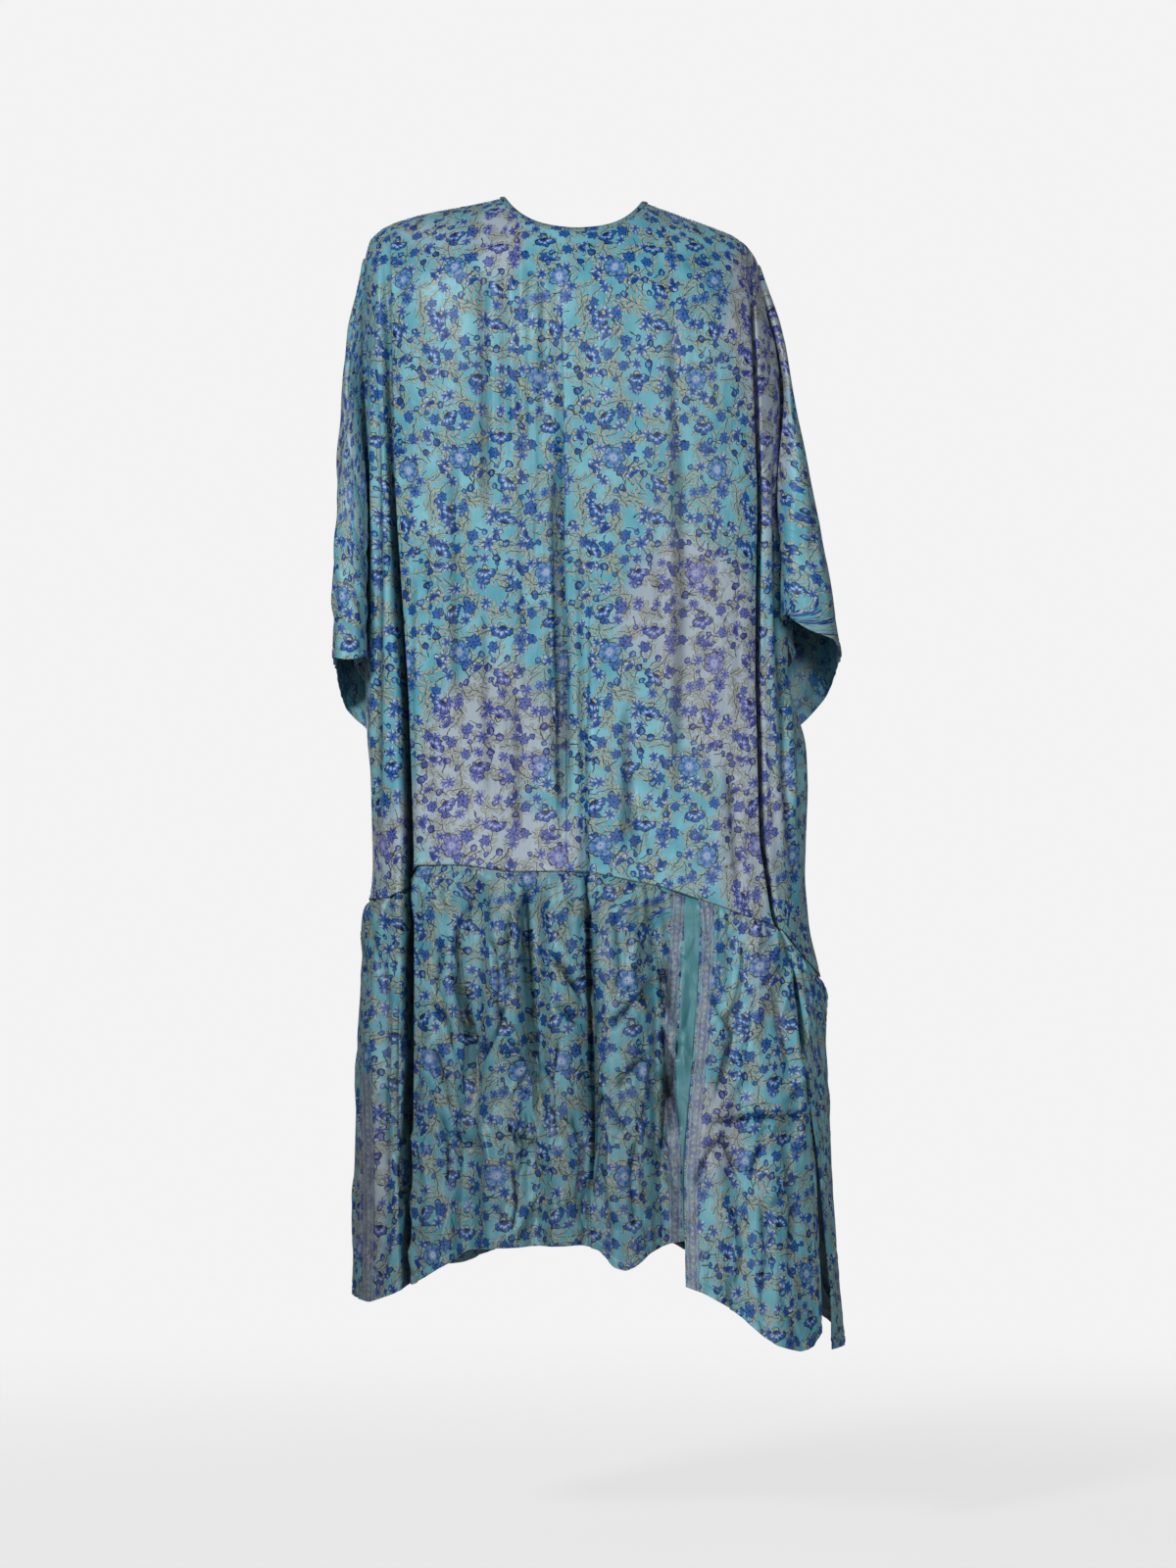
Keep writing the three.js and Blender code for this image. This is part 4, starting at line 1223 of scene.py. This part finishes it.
def star_flower(base, inks, cell, size):
    """Six pointed petals, some with paler tips, round a dark middle."""
    radius, angle, chance = polar(cell)
    petal = FULL_TURN / 6
    local = (angle + math.pi).wrap(petal) - petal / 2
    share = radius * local.cosine() / size
    width = (share * (1 - share)).most(TINY) * size * (1.05 + chance * 0.35)
    reach = abs(radius * local.sine()) / width
    pale = share.step(0.3, 0.75) * reach.step(1.0, 0.3) * (chance * 5).wrap(1).step(0.2, 0.7)
    colour = blend(pale * 0.8, blend(reach.step(0.1, 0.9), inks["blue"], inks["deep"]), inks["pale"])
    line = reach.step(0.62, 0.9).most(share.step(0.16, 0.1)) * 0.95
    inside = reach.step(1.05, 0.95) * share.step(1.0, 0.97)
    return outlined(base, inks, inside.most((radius / size).step(0.24, 0.2)), line, colour)


def fan_flower(base, inks, cell, size):
    """A flower seen from its side: a fan of dark petals with a row of pale ones, on a small cup."""
    radius, angle, _ = polar(cell)
    wide = abs(angle)
    reach, lobe = lobed(radius, angle, 3.6, 0.7, 0.18, size)
    teeth = abs((angle * 5.4).cosine()).step(0.25, 0.6)
    pale = reach.step(0.42, 0.5) * reach.step(0.7, 0.64) * teeth * 0.7
    stripe = (angle * 14).cosine().step(0.1, 0.9) * reach.step(0.66, 0.75)
    body = blend(stripe * 0.7, blend(reach.step(0.25, 0.6), inks["deep"], inks["blue"]), inks["deep"])
    line = lobe.step(0.34, 0.1) * reach.step(0.6, 0.7)
    line = line.most(reach.step(0.88, 0.95)).most(wide.step(1.1, 1.2)).most(reach.step(0.3, 0.24)) * 0.9
    cup = radius / (size * 0.24)
    base = blend(cup.step(1.05, 0.95), base, blend(cup.step(0.6, 0.85), inks["leaf"], inks["line"]))
    inside = reach.step(1.02, 0.98) * wide.step(1.28, 1.25)
    return outlined(base, inks, inside, line, blend(pale, body, inks["pale"]))


def lily_flower(base, inks, cell, size):
    """A flower seen from its side, with three pointed petals that spread from one point."""
    radius, angle, chance = polar(cell)
    wide = abs(angle)
    reach, lobe = lobed(radius, angle, 3, 1.4, 0.55, size)
    pale = reach.step(0.55, 0.8) * lobe.step(0.5, 0.95) * (chance * 3).wrap(1).step(0.0, 0.5)
    stripe = (angle * 12).cosine().step(0.2, 1.0) * 0.6
    body = blend(stripe, blend((radius / size).step(0.2, 0.8), inks["deep"], inks["blue"]), inks["deep"])
    line = lobe.step(0.3, 0.12) * reach.step(0.4, 0.6)
    line = line.most(reach.step(0.8, 0.92)).most(wide.step(1.3, 1.42)) * 0.95
    inside = reach.step(1.03, 0.97) * wide.step(1.5, 1.47)
    return outlined(base, inks, inside, line, blend(pale, body, inks["pale"]))


def bud(base, inks, cell, size):
    """A small closed flower with a pale side, on a short stalk."""
    radius, angle, chance = polar(cell)
    drop, side = angle.cosine(), angle.sine()
    reach = radius / ((drop * 0.25 + 0.75) * (0.72 + chance * 0.33) * size)
    pale = reach.step(0.85, 0.5) * (drop * 0.6 + side * 0.8).step(0.0, 0.5)
    pale = pale * (chance * 9).wrap(1).step(0.2, 0.8)
    colour = blend(pale * 0.8, blend(chance, inks["blue"], inks["deep"]), inks["light"])
    stalk = abs(radius * side).step(0.75, 0.4) * drop.below(-0.2) * radius.below(size * 2.1)
    base = blend(stalk, base, inks["line"])
    return outlined(base, inks, reach.step(1.04, 0.96), reach.step(0.66, 0.84) * 0.95, colour)


def spray(base, inks, cell, size):
    """A curved stem with a few long pointed leaves on alternate sides."""
    half, leaf = size
    x, y, spin, chance = cell
    turn = spin * FULL_TURN
    cosine, sine = turn.cosine(), turn.sine()
    along = x * cosine + y * sine
    side = y * cosine - x * sine + along * along * (chance - 0.5) * (1.5 / half)
    taper = (1 - (along / half) * (along / half)).most(TINY)
    scale = taper.power(0.25) * (0.8 + chance * 0.3)
    spacing = leaf * 0.72
    start = (along + side.below(0) * (spacing / 2)).wrap(spacing) - leaf * 0.06
    off = abs(side)
    length = (start * 0.77 + off * 0.64) / (scale * leaf)  # along a leaf that leans forward
    width = abs(off * 0.77 - start * 0.64)
    reach = width / ((length * (1 - length) * (1.3 - length * 0.6)).most(TINY) * scale * (leaf * 0.72))
    alive = taper.above(0.02)
    on_leaf = reach.step(1.06, 0.94) * length.below(1) * alive
    line = reach.step(0.62, 0.95).most(reach.step(0.12, 0.05) * 0.35)
    on_stem = off.step(0.62, 0.3) * alive
    base = blend(on_leaf, base, blend(line, inks["leaf"], inks["line"]))
    return blend(on_stem * 0.85, base, inks["line"])


def border_band(base, band, down):
    """The woven border: a row of small diamonds between rows of fine ticks."""
    off = abs(band)
    diamond = (off / 1.9 + abs(down.wrap(7) - 3.5) / 2.6).below(1)
    tick = down.wrap(2.4).below(1.2) * off.above(4.2) * off.below(5.4)
    line = (off.above(3.0) * off.below(3.5)).most(off.above(6.4) * off.below(7.2))
    colour = blend(diamond, ink("8290a8"), ink("b3b0aa"))
    colour = blend(tick, colour, ink("b0b4c4"))
    colour = blend(line, colour, ink("465274"))
    return blend(off.step(BORDER_HALF + 0.3, BORDER_HALF - 0.3) * 0.7, base, colour)


# ---------------------------------------------------------------- materials
# The print from its lowest layer: lattice (across, down, swapped, offset), seed, looseness, and the
# motifs that share it, each with its size and the chance up to which it is the one drawn.
PRINT = [
    ((4, 6, True, (38, 30)), 27.5, (12, 8), [(spray, (20, 11.5), 1)]),
    ((5, 6, False, (10, 5)), 11.5, (10, 10), [(spray, (16, 11.5), 1)]),
    ((6, 6, True, (22, 17)), 43.5, (10, 8), [(spray, (15, 10.5), 1)]),
    ((5, 7, True, (3, 36)), 71.5, (10, 8), [(spray, (15, 10.5), 1)]),
    ((6, 8, False, (4, 9)), 5.5, (12, 10), [(bud, 5.4, 1)]),
    ((6, 8, True, (13, 2)), 8.5, (12, 10), [(bud, 4.8, 0.5), (star_flower, 6.4, 1)]),
    ((6, 9, False, (31, 3)), 35.5, (12, 8), [(star_flower, 7.4, 0.8), (bud, 5.4, 1)]),
    ((4, 6, True, (2, 25)), 17.5, (14, 12), [(star_flower, 9.4, 0.5), (lily_flower, 11.0, 1)]),
    ((3, 4, False, (17, 8)), 23.5, (20, 16), [(round_flower, 12.6, 0.4), (fan_flower, 14.0, 1)]),
]
# Each ink on plain cloth, and where the cloth is dyed lilac.
INKS = {
    "light": ("6ea8d8", "9d9bcb"),
    "blue": ("1c66b6", "5c6cb8"),
    "deep": ("083a8c", "383f90"),
    "navy": ("060f30", "181a48"),
    "pale": ("c6dcec", "c2c8e2"),
    "leaf": ("a6b6ac", "adb2ad"),
    "line": ("1a3436", "2e3434"),
}


def new_material(name):
    material = bpy.data.materials.new(name)
    material.use_nodes = True
    return material, material.node_tree, material.node_tree.nodes["Principled BSDF"]


def printed(tree, inks, place):
    """The ground with all of the print's layers over it."""
    colour = inks["ground"]
    for lattice, seed, loose, motifs in PRINT:
        cell = scattered(tree, place, lattice, seed, loose)
        start = 0
        for motif, size, end in motifs:
            drawn = motif(colour, inks, cell, size)
            chosen = (cell[3] - start).above(0) * cell[3].below(end)
            colour = drawn if len(motifs) == 1 else blend(chosen, colour, drawn)
            start = end
    return colour


def printed_silk(name, wrong_side=False):
    material, tree, shader = new_material(name)
    uv = new_node(tree, "UVMap")
    uv.uv_map = "cloth"
    across, down, _ = parts(tree, Number(tree, uv.outputs[0]))
    across, down = across * (1 / MM), down * (1 / MM)
    _, sway = noise(tree, vector(tree, across, down, 0.0), 0.16, 1.0)
    sway_x, sway_y, _ = parts(tree, sway)
    place = (across + sway_x * 5 - 2.5, down + sway_y * 5 - 2.5)
    slub, _ = noise(tree, vector(tree, across * 1.6, down * 0.03, 3.0), 1.0, 2.0, 0.6)
    cloud, _ = noise(tree, vector(tree, across, down, 9.0), 0.018, 3.0)

    dye = (mark(tree, "dye") + (cloud - 0.5) * 0.7).step(0.22, 0.72)
    inks = {use: blend(dye, ink(plain), ink(dyed)) for use, (plain, dyed) in INKS.items()}
    inks["ground"] = blend(dye, blend(cloud.step(0.3, 0.7), ink("58a8bc"), ink("84c8d6")), ink("b0bfcb"))
    colour = printed(tree, inks, place)
    colour = border_band(colour, mark(tree, "band") + (sway_x - 0.5) * 5, down)
    colour = blend(mark(tree, "plain").above(0.5), colour, ink("62a8b4"))
    if wrong_side:
        colour = blend(cloud * 0.2 + 0.1, colour, inks["ground"])
    stitch = mark(tree, "from_hem").step(9.9, 10.2) * mark(tree, "from_hem").step(11.3, 11.0)
    colour = blend(stitch * across.wrap(3.2).below(2.2) * 0.6, colour, ink("3b6f78"))
    # Painted shadow line beside each seam, partly the seam's own dark thread: the colour darkens within 2
    # mm of it.
    shade = mark(tree, "from_seam").step(0.4, 2.0) * 0.65 + 0.35
    # Painted shade: the deep mark darkens the colour in long folds, crease troughs, over the tiers and on
    # the robe's inside; slub is the silk's own uneven tone.
    shade = shade * (slub * 0.3 + 0.85) * (1 - mark(tree, "deep") * 0.74)
    tint = new_node(tree, "VectorMath", colour)
    tint.operation = "SCALE"
    plug(tree, shade, tint.inputs["Scale"])
    tree.links.new(tint.outputs[0], shader.inputs["Base Color"])

    plug(tree, slub * 0.22 + 0.31, shader.inputs["Roughness"])
    shader.inputs["Specular IOR Level"].default_value = 0.5
    shader.inputs["Sheen Weight"].default_value = 0.1
    shader.inputs["Sheen Roughness"].default_value = 0.35

    crinkle, _ = noise(tree, vector(tree, across, down * 0.22, 21.0), 0.13, 4.0, 0.6)
    crumple, _ = noise(tree, vector(tree, across, down * 0.6, 33.0), 0.05, 3.0, 0.55)
    thread = FULL_TURN / 0.7
    weave = (across * thread).sine() + (down * thread).sine()
    height = crinkle * 0.7 + abs(crumple - 0.5) * 2.2 + slub * 0.1 + weave * 0.01
    bump = new_node(tree, "Bump")
    bump.inputs["Strength"].default_value = 1.0
    bump.inputs["Distance"].default_value = MM
    plug(tree, height, bump.inputs["Height"])
    tree.links.new(bump.outputs[0], shader.inputs["Normal"])
    return material


# ---------------------------------------------------------------- the robe
def back_lines(*names):
    return [on_line(name, 1) for name in names]


def front_lines(side):
    """From the open edge to the side seam on the left, and the other way on the right."""
    lines = [on_line(f"front_{side}_{name}", -1) for name in ("edge", "middle", "fold")]
    return [*lines, side_edge(1, -1)] if side == "left" else [side_edge(-1, -1), *lines[::-1]]


def slit_edge(z):
    """The left slit: the front tier's edge turns away from the back's below the slit's top."""
    return 90 + SLIT["open_turn"] * smooth(SLIT["top"] - z, 0, SLIT["run"])


def beside_slit(name, way):
    """An edge of the right slit, moved a little way off its line."""
    line = on_line(name, 1)
    return lambda z: line(z) + way * SLIT["gap_turn"]


def upper_columns(lines):
    return Columns(lines, -530, SPACING_ACROSS)


def tier_columns(lines, spacing=SPACING_ACROSS_TIER):
    return Columns(lines, -920, spacing)


*middle_lines, lap_edge = back_lines(
    "left_fold", "left_neck", "left_middle", "upper_pleat", "centre", "right_neck", "lap_edge"
)
lap_end, right_fold = back_lines("lap_end", "right_fold")
left_lines = [side_edge(1, 1), *middle_lines, lap_edge, lap_end]
right_lines = [lap_edge, lap_end, beside_slit("right_fold", 1)]
back_columns = upper_columns([*left_lines, right_fold, side_edge(-1, 1)])
tier_back_columns = tier_columns(left_lines, SPACING_ACROSS_TIER_BACK)
tier_back_right_columns = tier_columns(right_lines, SPACING_ACROSS_TIER_BACK)
tier_left_columns = tier_columns([*front_lines("left")[:-1], slit_edge])
tier_right_columns = tier_columns([beside_slit("right_slit", -1), *front_lines("right")])

pieces = {
    "back": upper_piece(
        "silk_back", back_columns, 1, 10, (0, 0), hand=BACK_CREASES, anchor=back_columns.count // 2
    ),
    "front_left": upper_piece("silk_front_left", upper_columns(front_lines("left")), -1, 20, (300, 40)),
    "front_right": upper_piece("silk_front_right", upper_columns(front_lines("right")), -1, 30, (640, 90)),
    "tier_back": tier_piece(
        "silk_tier_back",
        tier_back_columns,
        hem_by_x(HEM_BACK),
        40,
        (57, 20),
        sewn=(3, 0),
        hand=TIER_CREASES,
        anchor=tier_back_columns.count // 2,
        lapped=True,
        border=border_behind,
        # painted shade: the tier behind is drawn much darker, more so toward the hem
        dim=(0.36, 0.54),
    ),
    "tier_back_right": tier_piece(
        "silk_tier_back_right",
        tier_back_right_columns,
        hem_by_x(HEM_RIGHT),
        50,
        (31, 130),
        sewn=(0, 3),
        hand=TIER_CREASES,
        border=border_on_lap,
    ),
    "tier_front_left": tier_piece(
        "silk_tier_front_left", tier_left_columns, hem_by_turn, 60, (420, 60), sewn=(4, 3)
    ),
    "tier_front_right": tier_piece(
        # Its wrong side is painted almost fully in shade, so the side slit looks dark inside.
        "silk_tier_front_right", tier_right_columns, hem_by_turn, 70, (730, 170), sewn=(3, 4), inside=0.95
    ),
    "sleeve_left": sleeve_piece("silk_sleeve_left", SLEEVES["sleeve_left"], 80, (850, 25)),
    "sleeve_right": sleeve_piece("silk_sleeve_right", SLEEVES["sleeve_right"], 90, (960, 75)),
    "neck_binding": binding_piece(),
}

silk = printed_silk("printed_silk_right_side")
silk_wrong_side = printed_silk("printed_silk_wrong_side", wrong_side=True)
silk_binding = printed_silk("printed_silk_binding")
for node, piece in pieces.items():
    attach(piece, "root")
    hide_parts(node)
    if node == "neck_binding":
        piece.data.materials.append(silk_binding)
    else:
        piece.data.materials.append(silk)
        piece.data.materials.append(silk_wrong_side)


# ---------------------------------------------------------------- floor, light and camera, in metres
ROBE_MIDDLE = Vector((0, 0, -0.6))
FLOOR_RADIUS = 2.8
FLOOR_HEIGHT = -1.46
CAMERA_DISTANCE = 6.0  # from the camera to the widest part of the robe's back
CAMERA_PLACE = (-0.016, CAMERA_DISTANCE + 0.06, -0.636)
HALF_VIEW = 0.856  # half of the height in view at that distance
LIGHTS = [
    # name, place, size, watts, colour
    ("key", (3.0, 4.6, 2.1), 0.9, 200, (1.0, 1.0, 0.99)),
    ("fill", (-2.8, 5.4, -0.3), 1.6, 106, (0.97, 0.99, 1.0)),
    ("front_light", (0.3, -4.8, 0.3), 2.2, 115, (1, 1, 1)),
]


def floor_material():
    """A pale floor that fades away toward its rim."""
    material, tree, shader = new_material("pale_floor")
    shader.inputs["Roughness"].default_value = 0.9
    place = Number(tree, new_node(tree, "TexCoord").outputs["Object"])
    x, y, _ = parts(tree, place)
    grain, _ = noise(tree, place, 9.0, 4.0)
    plug(tree, blend(grain, ink("eeeeec"), ink("f2f2f1")), shader.inputs["Base Color"])
    plug(tree, (x * x + y * y).root().step(2.4, 0.6) * 0.25, shader.inputs["Alpha"])
    return material


bpy.ops.mesh.primitive_circle_add(
    vertices=96, radius=FLOOR_RADIUS, fill_type="NGON", location=(0, 0, FLOOR_HEIGHT)
)
floor = bpy.context.object
floor.name = "floor"
floor.data.materials.append(floor_material())

for name, place, size, watts, tone in LIGHTS:
    light = bpy.data.lights.new(name, "AREA")
    light.shape = "SQUARE"
    light.size = size
    light.energy = watts
    light.color = tone
    lamp = linked(name, light)
    lamp.location = place
    lamp.rotation_euler = (ROBE_MIDDLE - Vector(place)).to_track_quat("-Z", "Y").to_euler()

scene = bpy.context.scene
scene.world = bpy.data.worlds.new("studio")
scene.world.use_nodes = True
sky = scene.world.node_tree
backdrop = sky.nodes["Background"]
backdrop.inputs["Color"].default_value = ink("f3f3f3")
seen = Number(sky, new_node(sky, "LightPath").outputs["Is Camera Ray"])
plug(sky, seen * 0.88 + 0.12, backdrop.inputs["Strength"])  # dimmer as a light than as a backdrop

camera_data = bpy.data.cameras.new("camera")
camera_data.angle = 2 * math.atan(HALF_VIEW / CAMERA_DISTANCE)
camera = linked("camera", camera_data)
camera.location = CAMERA_PLACE
camera.rotation_euler = (math.radians(90), 0, math.radians(180))
scene.camera = camera
scene.view_settings.view_transform = "Standard"
